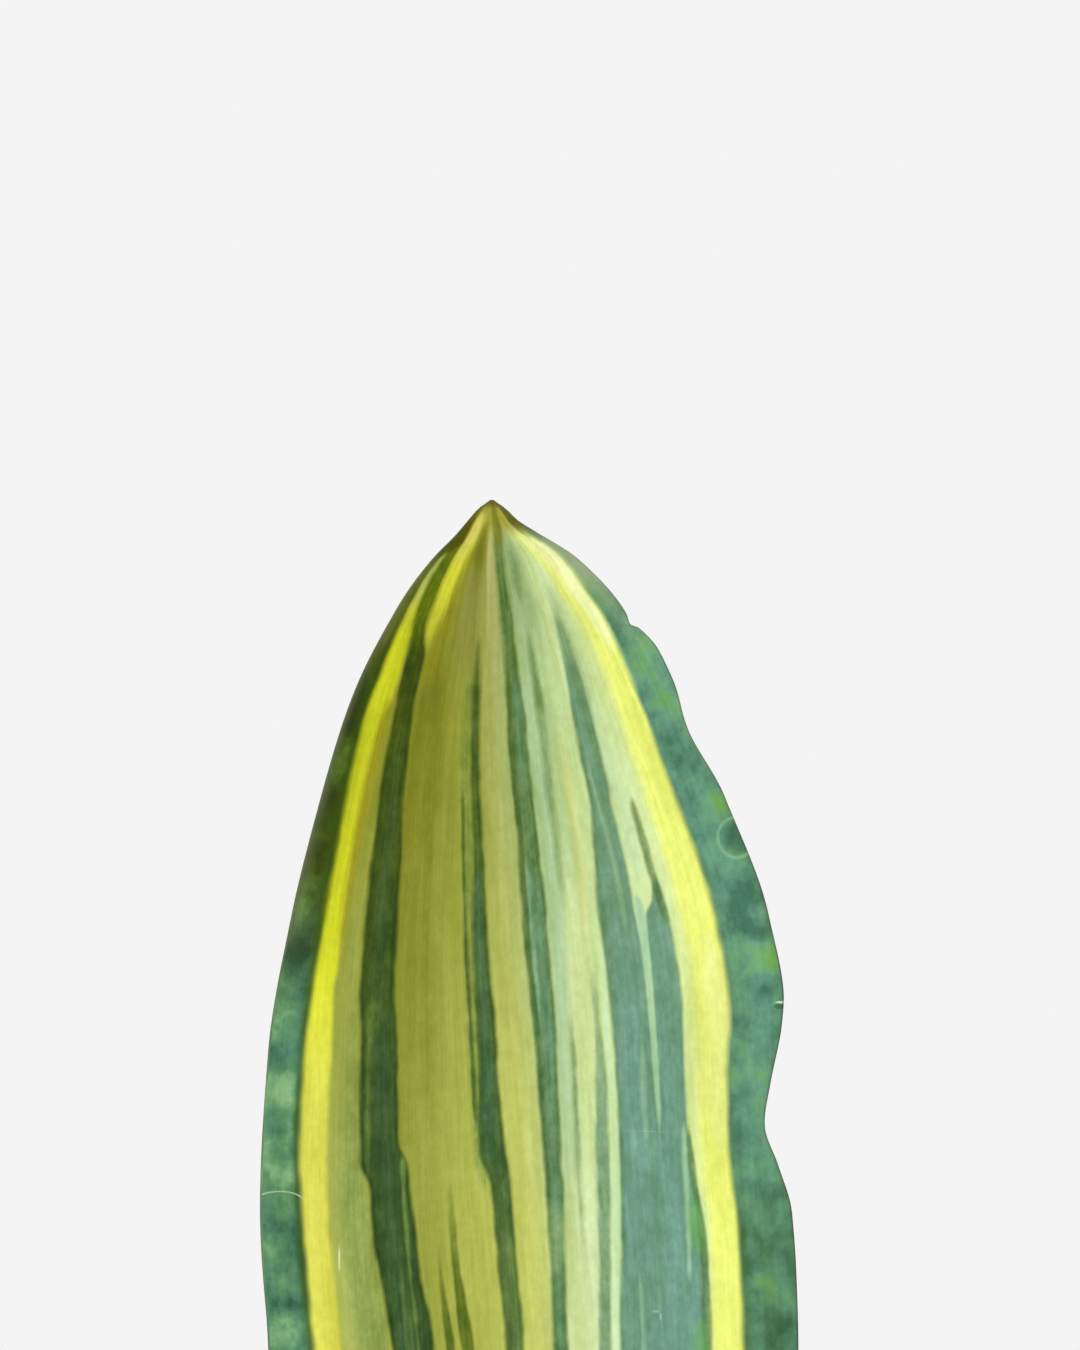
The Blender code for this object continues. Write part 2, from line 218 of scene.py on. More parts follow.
# What is painted on it, near the tip and, where it changes, lower down.
TONES = {
    "lemon_left": ((228, 234, 40), (226, 225, 90)),
    "lemon_tip": ((234, 234, 62),),
    "butter": ((228, 221, 108),),
    # The next two lemons are partly painted sheen: the band's lemon on the right made paler and bluer by it.
    "lemon_pale": ((244, 252, 190), (240, 246, 170)),
    "lemon_right": ((230, 240, 118), (232, 240, 118)),
    "amber": ((176, 164, 24), (186, 176, 50)),
    "pale_olive": ((146, 153, 50), (174, 186, 94)),
    "olive_shade": ((122, 124, 20), (146, 152, 46)),
    "grass": ((108, 128, 2), (92, 130, 40)),
    "bright_grass": ((120, 172, 70), (112, 176, 78)),
    "forest": ((70, 90, 10), (58, 86, 36)),
    "moss": ((84, 104, 34), (70, 102, 50)),
    "moss_light": ((120, 140, 54), (112, 142, 66)),
    "fern": ((94, 124, 62), (96, 135, 88)),
    # teal is a dark stripe green made paler and bluer by a painted sheen, for the right half of the hollow.
    "teal": ((107, 148, 112), (106, 150, 128)),
    "sage": ((146, 172, 112), (176, 204, 136)),
    "cream": ((208, 224, 150), (210, 229, 166)),
    "mint": ((170, 206, 158), (158, 204, 168)),
    "rib_pale": ((186, 184, 118),),
    "dusty_brown": ((142, 142, 64),),
    "deep_grass": ((62, 92, 0), (52, 86, 12)),
    "khaki": ((164, 158, 54),),
    "olive_line": ((122, 126, 24),),
    "border_olive": ((100, 94, 4),),
    "border_green": ((92, 94, 22),),
    "margin_olive": ((122, 126, 46),),
    "outer_grey": ((108, 118, 84),),
    "grey_green": ((164, 178, 142),),
    "straw": ((212, 214, 138),),
    "tail_green": ((204, 214, 112),),
    "dark_olive": ((92, 108, 14), (88, 108, 22)),
    "blue_moss": ((72, 108, 74), (66, 102, 62)),
    "grey_fern": ((126, 156, 106), (124, 158, 114)),
    "pale_mint": ((204, 230, 176), (198, 230, 186)),
}

# How far a tone is streaked as dark places are instead of pale ones, and which tones darken at their edges.
PLAYS = {
    "grass": 0.7, "forest": 1, "moss": 1, "moss_light": 0.8, "fern": 0.9, "teal": 0.35,
    "olive_shade": 0.2, "dark_olive": 0.8, "blue_moss": 1, "grey_fern": 0.6,
}
RIMMED_TONES = ("forest", "moss", "fern")
RIM_TINT = (0.6, 0.66, 0.3, 1)
RIM_STRENGTH = 0.6

# Streaks and flecks in the skin: the places they follow, then scale, detail, roughness, stretch, and the
# noise values between which they turn from dark to light.
STREAKS = {
    "broad": ("leaf_grain", 0.26, 2.5, 0.5, (1, 0.06, 1), (0.32, 0.68)),
    "fine": ("leaf_grain", 1.15, 3, 0.6, (1, 0.04, 1), (0.3, 0.7)),
    "mottle": ("leaf_skin", 0.2, 4, 0.6, (1, 0.5, 1), (0.35, 0.65)),
    "grit": ("leaf_skin", 0.5, 4, 0.65, (1, 0.6, 1), (0.35, 0.65)),
}
# By how much they multiply red, green and blue where they are darkest and lightest.
PALE_PLAY = {
    "fine": ((0.96, 0.96, 0.94), (1.03, 1.03, 1.04)),
    "broad": ((0.91, 0.91, 0.79), (1.07, 1.07, 1.14)),
    "mottle": ((0.965, 0.965, 0.94), (1.03, 1.03, 1.05)),
    "grit": ((0.955, 0.955, 0.94), (1.035, 1.035, 1.05)),
}
DARK_PLAY = {
    "fine": ((0.8, 0.82, 0.8), (1.12, 1.1, 1.12)),
    "mottle": ((0.8, 0.88, 0.85), (1.35, 1.25, 1.45)),
    "grit": ((0.88, 0.9, 0.88), (1.12, 1.1, 1.12)),
}

# Four greens from dark to light for each margin, near the tip and lower down. Partly painted light: the
# left margin's dark upper greens are painted shade where it turns from the light, and the teal greens lower
# on the left and along the right hold a painted sheen.
MARGIN_TONES = {
    "margin_left": (
        ((50, 62, 4), (60, 76, 10), (74, 98, 22), (96, 132, 44)),
        ((48, 92, 66), (78, 128, 98), (96, 148, 104), (138, 184, 132)),
    ),
    "margin_right": (
        ((64, 112, 86), (88, 138, 112), (104, 156, 122), (111, 168, 88)),
        ((58, 100, 66), (76, 122, 90), (90, 140, 104), (104, 158, 92)),
    ),
}

# Between which places below the tip, in mm, the upper tones turn into the lower ones.
LOWER_REACH = (50, 210)
LOWER_REACHES = {"margin_left": (102, 154), "margin_right": (160, 215), "lemon_left": (122, 184)}

# Where the two green margins begin, as (mm below the tip, place across).
EDGE_LEFT = [
    (0, -90), (20, -91), (30, -89.3), (40, -88.1), (50, -87.3), (60, -87.6), (70, -87.1), (80, -86.6),
    (92, -85.7), (104, -85), (120, -85.1), (140, -85.1), (178, -86.4), (200, -84.9), (220, -84),
    (320, -82), (420, -79), (506, -77),
]
EDGE_RIGHT = [
    (0, 84), (22, 83.4), (30, 82.2), (45, 79.3), (60, 78.5), (80, 78.2), (100, 79.2), (130, 80.1),
    (145, 80.9), (165, 79), (185, 78.4), (205, 79.1), (237, 79.1), (320, 80), (420, 77), (506, 75),
]

# Lighter and darker blotches in the margins: place across, mm below the tip, how far they reach in
# percent across and in mm down, and how light. Others follow at random, from LAST_BLOTCH_MM down.
LAST_BLOTCH_MM = 248.0
BLOTCHES = [
    (-93, 46, 5, 5, -0.5), (-94, 64, 7, 7, -0.9), (-95, 75, 6, 4, 0.9), (-94, 86, 7, 5, -0.8),
    (-95, 96, 6, 3, 0.6), (-93, 104, 6, 4, -0.6), (-97, 117, 5, 5, 1.1), (-93, 126, 7, 5, -1),
    (-89, 137, 5, 4, -0.7), (-93, 145, 8, 5, 1), (-93, 156, 7, 6, -0.6), (-96, 168, 8, 6, 1.6),
    (-92, 180, 6, 6, -0.6), (-99, 181, 3, 6, 0.5), (-94, 191, 8, 5, 1.4), (-92, 204, 6, 5, -0.4),
    (-98, 208, 4, 5, 0.6), (-90, 216, 4, 7, -0.8), (-97, 218, 5, 5, 0.5), (-93, 227, 5, 2.5, -0.7),
    (-92, 233, 7, 5, 0.6), (90, 27, 14, 9, 0.6), (91, 38, 12, 5, 0.5), (94, 50, 8, 5, 0.3),
    (92, 58, 8, 5, 0.3), (95, 66, 5, 4, 0.5), (93, 75, 6, 5, -0.4), (84, 86, 5, 8, -0.6),
    (95, 87, 6, 5, 1.4), (97, 96, 4, 4, -1.1), (87, 104, 5, 3, 0.3), (92, 113, 8, 6, -0.8),
    (91, 121, 5, 5, -1.3), (95, 128, 5, 5, 1.3), (88, 131, 4, 4, -0.6), (95, 141, 4, 5, -0.8),
    (89, 161, 9, 4, 0.9), (88, 190, 5, 4, 0.8), (90, 201, 7, 4, 0.4), (91, 211, 8, 4.5, -0.9),
    (90, 221, 8, 4, 0.4), (92, 233, 8, 6, -0.8),
]

# Stripes down the leaf, painted in this order: name, tone, strength (or how it changes with the mm
# below the tip), softness in mm, then (mm below the tip, left edge, right edge) for its places. A stripe
# has ended where its left edge has passed its right one by STRIPE_PAST_MM, and fades in over its first
# STRIPE_START_MM and over the first STRIPE_FADE_MM of width.
STRIPE_START_MM = 3
STRIPE_PAST_MM = 0.3
STRIPE_FADE_MM = 1.3
STRIPES = [
    # The first two stripes are painted shade, deepest in the left half of the hollow.
    ("painted_shade_middle", "olive_shade", 0.8, 3, [
        (40, -44, -46), (60, -44, -36), (80, -42, -36), (110, -39, -35.5), (160, -37.5, -35),
        (190, -35.5, -36.5)]),
    ("painted_shade_outer", "olive_shade", 0.35, 2.5, [
        (50, -53, -55), (64, -53, -46), (100, -48, -43), (150, -45, -42), (180, -44, -46)]),
    ("pale_beside_band", "pale_olive", 0.85, 2.2, [
        (62, -70, -72), (80, -72, -67.7), (100, -72, -67), (120, -72.5, -66), (150, -74.5, -63.5),
        (200, -74.5, -60), (237, -73, -56.5), (350, -68, -56), (506, -64, -56)]),
    ("green_beside_band", "moss_light", [(136, 0.3), (200, 0.5), (300, 0.4)], 2.2, [
        (136, -64, -66), (150, -68.5, -63), (165, -68.5, -62), (185, -70, -61), (205, -69.5, -59),
        (237, -68, -56), (300, -65, -58), (350, -61, -63)]),
    ("amber_at_tip", "amber", 0.5, 3.5, [
        (10, -56, -26), (20, -52, -34), (32, -52, -40), (48, -50, -46), (58, -48, -52)]),
    ("khaki_at_tip", "khaki", [(0, 1), (6, 1), (9, 0.6), (12, 0.15), (15, 0)], 1, [
        (0, -120, 120), (15, -120, 120)]),
    ("patch_at_tip", "lemon_tip", [(3, 0), (6, 0.9), (24, 1), (34, 0.75), (40, 0.4), (46, 0)], 1.5, [
        (3, -66, -38), (10, -66, -40), (16, -66, -43), (24, -65, -45.5), (30, -63, -48), (36, -63, -52),
        (46, -58, -55)]),
    ("butter_at_tip", "butter", [(2, 0), (5, 0.8), (8, 1), (14, 0.7), (20, 0)], 0.9, [
        (2, -66, -36), (8, -66, -38), (14, -64, -44), (20, -64, -48)]),
    ("brown_at_tip", "dusty_brown", [(14, 0), (22, 0.85), (42, 0.7), (54, 0)], 2.6, [
        (14, -30, -10), (24, -34, -10), (40, -33, -11), (54, -28, -12)]),
    ("olive_left_of_rib", "olive_line", [(5, 0), (8, 0.8), (16, 1), (22, 0.4), (28, 0)], 0.8, [
        (5, -26, -14), (8, -29, -14), (12, -30, -12), (16, -31, -11.5), (22, -27, -12), (28, -20, -12)]),
    ("rib_at_tip", "rib_pale", [(6, 0), (10, 0.6), (15, 0.8), (30, 0.5), (50, 0.3), (64, 0)], 0.6, [
        (6, -9, 2), (12, -9, 3), (20, -7, 3), (34, -4, 2.5), (50, -2, 2), (64, -1, 1)]),
    ("grey_at_tip", "sage", [(9, 0), (13, 0.8), (30, 0.75), (40, 0.4), (52, 0)], 1.6, [
        (9, 10, 34), (14, 12, 36), (30, 12, 37), (40, 13, 35), (52, 14, 33)]),
    ("mint_right_of_rib", "mint", 0.4, 1.6, [
        (52, 17, 18), (66, 16.5, 21), (100, 16.5, 21.5), (150, 16, 20), (185, 15, 18.5), (202, 15, 13)]),
    ("mint_beside_wide_stripe", "mint", 0.35, 1.4, [
        (50, 53, 52), (62, 51.5, 55), (100, 51, 56), (114, 54, 52)]),
    ("haze_beside_wide_stripe", "sage", 0.6, 2, [
        (22, 51, 49), (30, 47, 54.5), (40, 48, 55), (50, 49, 55), (62, 53, 51)]),
    ("cream_right", "cream", 0.7, 1.8, [
        (100, 25, 23), (125, 22.5, 31), (150, 21.5, 31), (180, 20, 27.5), (210, 16, 25), (237, 11, 23),
        (350, 11, 25), (506, 13, 25)]),
    ("stripe_left", "forest", 1, 0.8, [
        (10, -78, -70), (18, -82, -68.5), (28, -80.7, -66), (34, -76, -65.5), (40, -72, -60.5),
        (46, -70.6, -56), (60, -67.8, -55.4), (70, -67.6, -54.1), (90, -66.8, -52.8), (110, -65.7, -50.3),
        (120, -65.6, -50), (140, -64.7, -49.6), (150, -63.3, -48.6), (170, -63.4, -47.8),
        (182, -62.5, -47.8), (188, -62.4, -45.2), (194, -59.6, -44.2), (200, -58.8, -43.7),
        (210, -58.7, -42.5), (220, -57.1, -42.1), (230, -55.9, -40.4), (237, -54.9, -39.4),
        (300, -53, -37), (380, -50, -36), (450, -48, -34), (506, -46, -34)]),
    ("grass_at_tip", "grass", [(33, 0.95), (40, 0.4), (46, 0)], 1.1, [
        (8, -80, -70), (18, -83, -68), (28, -82.8, -64), (36, -77, -64), (46, -70, -61)]),
    ("core_in_stripe_left", "blue_moss", [
        (60, 0), (80, 0.2), (120, 0.25), (136, 0.1), (155, 0.25), (205, 0.3), (237, 0.45), (300, 0.3)], 1.8, [
        (60, -62, -57.5), (90, -61, -56.5), (120, -60, -55), (155, -57.5, -52), (200, -56, -50),
        (237, -52, -47), (300, -50, -44)]),
    ("light_in_stripe_left", "moss_light", 0.35, 1.4, [
        (140, -58, -60), (148, -62, -55), (157, -58, -60)]),
    ("gap_in_stripe_left", "moss_light", 0.5, 0.8, [
        (142, -58.5, -60.5), (152, -60.5, -58.8), (185, -60.8, -58.8), (197, -58.5, -60.5)]),
    ("pale_line_left_a", "moss_light", 0.85, 0.6, [
        (182, -46, -48), (189, -47.3, -45.7), (215, -46.8, -45.6), (250, -45.5, -44.5), (300, -44, -43),
        (340, -43, -45)]),
    ("pale_line_left_b", "moss_light", 0.4, 0.6, [
        (208, -49, -51), (218, -50.2, -49), (250, -49.6, -48), (290, -48, -47), (330, -46, -48)]),
    ("pale_line_left_c", "moss_light", 0.4, 0.6, [
        (218, -47, -49), (226, -48.2, -47.4), (260, -47.5, -46.5), (320, -46, -45), (360, -44, -46)]),
    ("streak_left_a", "dark_olive", [(210, 0), (222, 0.75), (237, 0.95)], 0.6, [
        (210, -35.2, -34.4), (220, -35.6, -34.1), (237, -35, -32.2), (300, -34, -28), (400, -32, -27),
        (506, -30, -27)]),
    ("streak_left_b", "dark_olive", [(190, 0), (204, 0.6), (222, 0.95)], 0.6, [
        (190, -29.7, -28.8), (204, -30.2, -27.9), (215, -30.2, -27.5), (237, -29.3, -24.6),
        (300, -26, -20), (360, -24, -20), (420, -23, -21), (460, -21, -23)]),
    ("stripe_middle_side", "moss_light", 0.7, 1.1, [
        (44, -17, -19), (56, -20.8, -15), (80, -20.8, -14), (100, -20, -14), (125, -19.4, -14),
        (182, -19.4, -14), (190, -18.6, -14), (198, -15, -16.5)]),
    ("stripe_middle", "moss", [(38, 0), (52, 1), (186, 1), (215, 0.92), (237, 0.92), (280, 1)], 0.85, [
        (38, -13.5, -10.5), (60, -15, -9.5), (80, -14.8, -9), (100, -14.2, -8.8), (120, -15, -8.2),
        (150, -15.4, -7.6), (163, -15.4, -7.9), (178, -17.2, -7.2), (186, -17.3, -7), (191, -15, -6.2),
        (196, -13.6, -5.9), (220, -13.4, -6), (237, -12.7, -5.9), (330, -13, -5), (430, -12, -5),
        (506, -11, -5)]),
    ("core_in_stripe_middle", "blue_moss", 0.65, 1, [
        (102, -11, -13), (112, -14.5, -10.5), (150, -14.4, -10), (180, -15.2, -10), (193, -11, -13)]),
    ("stripe_middle_twin", "moss", 0.75, 0.5, [
        (78, -19, -20.5), (88, -20.4, -18.8), (104, -20, -18.4), (124, -19, -17.4), (150, -18.6, -17),
        (174, -18.6, -17), (184, -16.8, -18.4)]),
    ("stripe_right_of_rib", "fern", [
        (6, 0), (14, 0.9), (24, 1), (198, 1), (208, 0.85), (216, 0.88), (224, 1)], 0.75, [
        (6, 4, 10), (12, 3, 13.5), (30, 5, 14.5), (50, 6.8, 15.2), (60, 7, 16.1), (80, 7.3, 16.4),
        (100, 7, 16), (120, 6.8, 15.9), (140, 7, 16.3), (160, 7.2, 15.2), (194, 7, 14.3),
        (205, 6.8, 13.2), (215, 6.6, 12.5), (230, 5.8, 11.6), (237, 5.4, 11.2), (300, 5, 12),
        (400, 6, 15), (506, 7, 16)]),
    ("light_in_stripe_middle", "moss_light", 0.4, 0.8, [
        (205, -7, -9), (215, -9.5, -7), (237, -9, -6.2), (260, -7, -9)]),
    ("teal_right_of_rib", "teal", [
        (48, 0), (57, 0.6), (66, 0.3), (76, 0.35), (86, 0.05), (104, 0.05), (112, 0.3), (150, 0.4),
        (165, 0.15), (184, 0)], 0.8, [
        (48, 11, 14.5), (60, 10.7, 15.5), (100, 10, 15.2), (150, 10.2, 14.7), (184, 10, 14)]),
    ("olive_right_of_rib", "olive_line", [(0, 0.6), (3, 0.95), (10, 0.9), (16, 0)], 0.6, [
        (0, -20, 60), (3, -2, 30), (5, 2, 27), (8, 4, 26), (10, 5, 22), (16, 7, 12)]),
    ("forest_line_right_of_rib", "forest", 0.35, 0.7, [
        (44, 8.5, 6.5), (56, 7.2, 9.8), (130, 7.6, 9.5), (195, 7.4, 9), (206, 9, 7)]),
    ("pale_line_right_of_rib", "mint", 0.35, 0.5, [
        (92, 10.5, 9), (110, 9.4, 10.8), (130, 9.4, 10.8), (146, 9.5, 10.5), (160, 10.5, 9)]),
    ("pale_right_of_rib", "sage", 0.35, 1.4, [
        (199, 14, 12), (206, 11, 13.5), (212, 11.2, 13), (220, 13, 11)]),
    ("tip_patch_right", "fern", 0.5, 1.3, [
        (12, 24, 22), (18, 20, 28), (25, 20, 27.5), (31, 24, 22)]),
    ("thin_streak_right_a", "fern", [
        (34, 0), (42, 0.5), (55, 0.75), (68, 0.45), (84, 0.55), (104, 0.35), (122, 0)], 1, [
        (34, 22.5, 25.5), (50, 22.5, 26.2), (60, 22.5, 26.7), (76, 22.2, 26.4), (84, 22, 25),
        (104, 21.5, 24.5), (122, 22.2, 25.2)]),
    ("straw_beside_wide_stripe", "straw", 0.5, 1.3, [
        (62, 35, 33), (74, 31.8, 35.5), (96, 30, 34.5), (116, 29, 32), (130, 30, 28)]),
    ("thin_streak_right_b", "fern", [(146, 0), (156, 0.6), (172, 0.65), (190, 0.5), (222, 0)], 0.8, [
        (146, 20.5, 22.2), (160, 20.6, 22.6), (176, 20, 22.2), (192, 19.6, 21.4), (206, 19, 20.8),
        (222, 18, 19.8)]),
    ("streak_right", "grey_fern", [(132, 0), (142, 0.65), (158, 0.85), (172, 1)], 0.8, [
        (132, 30.2, 32), (150, 30.3, 32.8), (160, 29.8, 33.6), (170, 29, 33.9), (180, 28.2, 33.3),
        (210, 25.6, 30.7), (237, 24, 28.3), (300, 23, 27), (400, 24, 27), (450, 26, 24)]),
    ("wide_stripe_right", "teal", [(26, 0), (31, 0.2), (38, 0.7), (48, 0.9), (58, 1)], 0.8, [
        (26, 45.5, 47), (34, 44, 48.2), (42, 43, 49.4), (50, 42, 50.6), (60, 41, 51), (80, 41, 50.8),
        (90, 40, 50), (100, 38.2, 49.8), (110, 36.3, 49.4), (116, 35.8, 49.6), (124, 36.2, 50.8),
        (150, 36.8, 51.8), (170, 37.2, 52.5), (180, 37, 53), (200, 35.3, 53), (215, 33.9, 53),
        (237, 31.8, 53), (506, 34, 53)]),
    ("branch_right", "teal", 1, 0.7, [
        (104, 60.5, 59), (110, 58.2, 61.4), (114, 56.8, 62.1), (118, 53.8, 62.7), (124, 53.3, 63),
        (140, 53, 63.6), (160, 53.2, 63.2), (176, 52.8, 63.2), (186, 51.5, 64), (196, 51, 65.3),
        (206, 51, 66.5), (506, 51, 64)]),
    ("spear_right", "fern", 0.75, 0.8, [
        (82, 60, 58.5), (90, 57.7, 60.2), (104, 57.8, 60.4), (110, 58, 61.2), (118, 60, 62.2),
        (126, 62.5, 60.5)]),
    ("fern_edge_of_wide_stripe", "fern", 0.5, 1, [
        (48, 44, 41), (64, 40.6, 42.4), (86, 40.6, 42.2), (100, 38.4, 39.8), (110, 36.5, 38.2),
        (118, 36.2, 38.6), (140, 36.8, 38.8), (170, 37.3, 38.7), (200, 35.4, 36.6), (237, 32, 33),
        (320, 32.2, 33.2), (506, 34.2, 35.2)]),
    ("fern_at_wide_stripe_top", "fern", 0.4, 2, [
        (30, 48, 44), (38, 44, 49), (48, 44, 50), (62, 47, 50.5), (80, 48.5, 50.5), (96, 50, 48)]),
    ("pale_line_right_a", "mint", 0.35, 0.7, [
        (68, 44, 42), (80, 43, 44.5), (94, 43.6, 45.5), (118, 44.2, 46), (130, 46, 44)]),
    ("pale_line_right_b", "mint", 0.95, 0.6, [
        (110, 52, 50), (117, 49.8, 53.6), (126, 50.3, 53.3), (150, 51, 53.2), (172, 51.7, 53.5),
        (184, 53.5, 51.5)]),
    ("pale_line_right_c", "mint", 0.4, 0.7, [
        (150, 48.5, 46.5), (160, 46.7, 48.7), (176, 46.3, 48.5), (188, 48, 46)]),
    ("pale_line_right_d", "mint", 0.35, 0.5, [
        (170, 43.5, 41.5), (180, 42, 43.2), (194, 43.5, 41.5)]),
    ("pale_line_right_e", "mint", 0.45, 0.6, [
        (214, 41.5, 39.5), (224, 39.6, 41.2), (250, 39.4, 40.8), (300, 38.5, 40), (350, 40, 38)]),
    ("pale_line_right_f", "mint", 0.9, 0.7, [
        (168, 62.5, 60.5), (182, 60.8, 62.4), (200, 59.8, 61.7), (216, 59, 60.2), (228, 60.5, 58.5)]),
    ("spear_beside_band", "fern", 0.85, 0.7, [
        (172, 65, 63), (182, 63, 64.5), (194, 63.1, 65.3), (202, 63.7, 66.2), (214, 63.6, 66.8),
        (237, 63.2, 66.8), (320, 64, 66.5), (380, 67, 65)]),
    ("grass_beside_band_a", "bright_grass", 0.5, 1.6, [
        (194, 65, 61), (200, 61, 65.5), (206, 60.2, 66), (211, 62, 65), (218, 65, 61)]),
    ("grass_beside_band_b", "bright_grass", 0.5, 2, [
        (226, 65, 60), (236, 60, 65), (246, 60, 65.5), (258, 65, 60)]),
    ("pale_beside_wide_stripe", "pale_mint", [(122, 0), (136, 0.5), (152, 0.75), (180, 0.9)], 0.7, [
        (122, 33.5, 36), (150, 33.6, 36.2), (165, 34.4, 36.8), (180, 34.2, 36.6), (190, 33.2, 36),
        (200, 32.3, 34.9), (215, 31, 33.4), (237, 28.9, 31.3), (300, 28.5, 30.5), (506, 30, 32)]),
    ("band_left_tail", "tail_green", [(12, 0), (17, 0.8), (26, 1), (34, 0.6), (42, 0)], 0.8, [
        (12, -92, -84), (20, -93, -82.5), (28, -92, -80.5), (42, -90, -80)]),
    ("band_left", "lemon_left", [(21, 0), (30, 0.55), (39, 1)], 1, [
        (21, -91, -85.5), (28, -91, -82), (34, -91, -77.5), (40, -90, -74.8), (46, -90, -72.4),
        (52, -90, -71.4), (58, -90, -72.1), (63, -90, -74.5), (72, -89, -75.8), (90, -88, -76.7),
        (110, -87, -76), (135, -87, -75.5), (150, -87, -74.7), (172, -88, -75), (200, -87, -75),
        (220, -86, -74.2), (237, -85, -73.6), (320, -83, -72), (420, -80, -68), (506, -78, -66)]),
    ("shade_in_band", "olive_shade", 0.22, 3, [
        (58, -82, -83), (68, -86, -76), (90, -86, -77), (118, -85, -77), (140, -82, -84)]),
    ("warm_inside_band", "amber", 0.75, 1.3, [
        (54, -73, -74.5), (64, -76.8, -71), (80, -77, -71.5), (100, -77, -73), (118, -76.5, -74),
        (136, -75, -77)]),
    ("glow_beside_band", "lemon_right", 0.4, 3.2, [
        (22, 58, 70), (60, 62, 70), (110, 64, 70), (150, 66, 70), (190, 67, 70), (206, 70, 68)]),
    ("band_right", "lemon_right", 1, 1.9, [
        (8, 56, 72), (11, 47, 82), (14, 48, 85), (20, 56, 85), (30, 62, 84), (45, 65, 82), (60, 65.7, 81),
        (80, 65.5, 81), (100, 66.4, 82), (116, 67.2, 82), (130, 68.7, 82), (145, 69.3, 83), (165, 69, 81),
        (185, 67.7, 80), (205, 68.3, 81), (237, 67.4, 81), (320, 69, 81), (420, 68, 78), (506, 66, 76)]),
    ("pale_band_at_tip", "lemon_pale", 0.75, 1.6, [
        (9, 62, 70), (12, 54, 84), (16, 60, 85), (24, 66, 83.5), (34, 70, 80), (48, 77, 73)]),
    ("pale_glow_in_band", "lemon_pale", 0.4, 2.5, [
        (120, 76, 74), (137, 72, 81), (150, 72, 82), (172, 71, 80), (188, 76, 73)]),
    # Partly a brown edge and partly painted shade where the left margin curls at the tip.
    ("border_left", "border_olive", [(0, 1), (12, 1), (18, 0.6), (26, 0)], 0.5, [
        (0, -130, -70), (4, -130, -74), (6, -130, -72), (10, -130, -69), (12, -130, -68), (15, -130, -80),
        (18, -130, -93), (26, -130, -95)]),
    ("edge_left", "margin_left", 1, 1.1, [(d, -160, a) for d, a in EDGE_LEFT]),
    ("edge_right", "margin_right", 1, 1.1, [(d, a, 160) for d, a in EDGE_RIGHT]),
    ("olive_margin_at_tip", "margin_olive", [(13, 0), (20, 0.85), (34, 0.8), (50, 0)], 1, [
        (13, -130, -91), (50, -130, -91)]),
    ("grey_outside_left", "outer_grey", [(14, 0.5), (115, 0.5), (132, 0)], 1.6, [
        (14, -130, -96.5), (132, -130, -96)]),
    ("line_left", "deep_grass", 0.9, 1.4, [
        (d, a - (3.6 if 44 < d < 110 else 2.2), a + 0.4) for d, a in EDGE_LEFT]),
    ("line_right", "deep_grass", [
        (40, 0), (60, 0.2), (80, 0.4), (125, 0.4), (150, 0.2), (190, 0.2), (210, 0.45)], 1.2, [
        (d, a - 0.6, a + 1.8) for d, a in EDGE_RIGHT]),
    # Partly painted sheen: the right margin near the tip made paler and greyer.
    ("grey_margin_at_tip", "grey_green", [
        (8, 0.6), (14, 0.85), (20, 0.8), (28, 0.35), (38, 0.12), (46, 0)], 1.4, [
        (8, 84, 130), (14, 85, 130), (52, 88, 130)]),
    ("border_right", "border_green", [(0, 1), (6, 1), (8, 0.7), (10, 0.35), (13, 0)], 0.5, [
        (0, 55, 130), (3, 57, 130), (5, 63, 130), (8, 62, 130), (13, 80, 130)]),
]

# Small healed scars: centre in mm from the axis and below the tip, half width and half height in mm,
# the width of the line in mm, or 0 for a filled tick, how much of an oval shows from its top down,
# strength and colour. Lines thinner than THINNEST_SCAR count as ticks.
THINNEST_SCAR = 0.01
PALE_SCAR = rgb(204, 222, 176)
DARK_SCAR = rgb(52, 92, 62)
SCARS = [
    (54.6, 96.2, 4.6, 4.8, 0, 2.0, 0.5, DARK_SCAR),
    (54.0, 96.0, 5.2, 5.7, 0.55, 2.0, 0.38, rgb(150, 196, 152)),
    (-74.6, 198.2, 7.0, 3.2, 0.46, -0.35, 0.6, PALE_SCAR),
    (66.4, 142.0, 1.9, 0.34, 0, 2.0, 1.0, PALE_SCAR),
    (65.6, 143.2, 1.6, 0.8, 0, 2.0, 0.7, DARK_SCAR),
    (-57.8, 214.4, 0.32, 3.6, 0, 2.0, 1.0, rgb(228, 230, 164)),
    (31.3, 229.6, 1.2, 0.4, 0, 2.0, 0.3, PALE_SCAR),
    (32.6, 231.0, 0.4, 1.1, 0, 2.0, 0.3, PALE_SCAR),
    (29.0, 179.2, 8.6, 0.16, 0, 2.0, 0.12, PALE_SCAR),
]


# Node building


def new_group(name, inputs, outputs):
    """An empty shader group with named sockets: {name: (kind, default)} in, {name: kind} out."""
    group = bpy.data.node_groups.new(name, "ShaderNodeTree")
    for socket, (kind, default) in inputs.items():
        made = group.interface.new_socket(socket, in_out="INPUT", socket_type="NodeSocket" + kind)
        if default is not None:
            made.default_value = default
    for socket, kind in outputs.items():
        group.interface.new_socket(socket, in_out="OUTPUT", socket_type="NodeSocket" + kind)
    return group, group.nodes.new("NodeGroupInput").outputs, group.nodes.new("NodeGroupOutput").inputs


def put(tree, kind, settings, values):
    """Adds a node with its settings, and its inputs as numbers or as sockets to link from."""
    node = tree.nodes.new("ShaderNode" + kind)
    for name, value in settings.items():
        setattr(node, name, value)
    for name, value in values.items():
        if isinstance(value, bpy.types.NodeSocket):
            tree.links.new(value, node.inputs[name])
        else:
            node.inputs[name].default_value = value
    return node


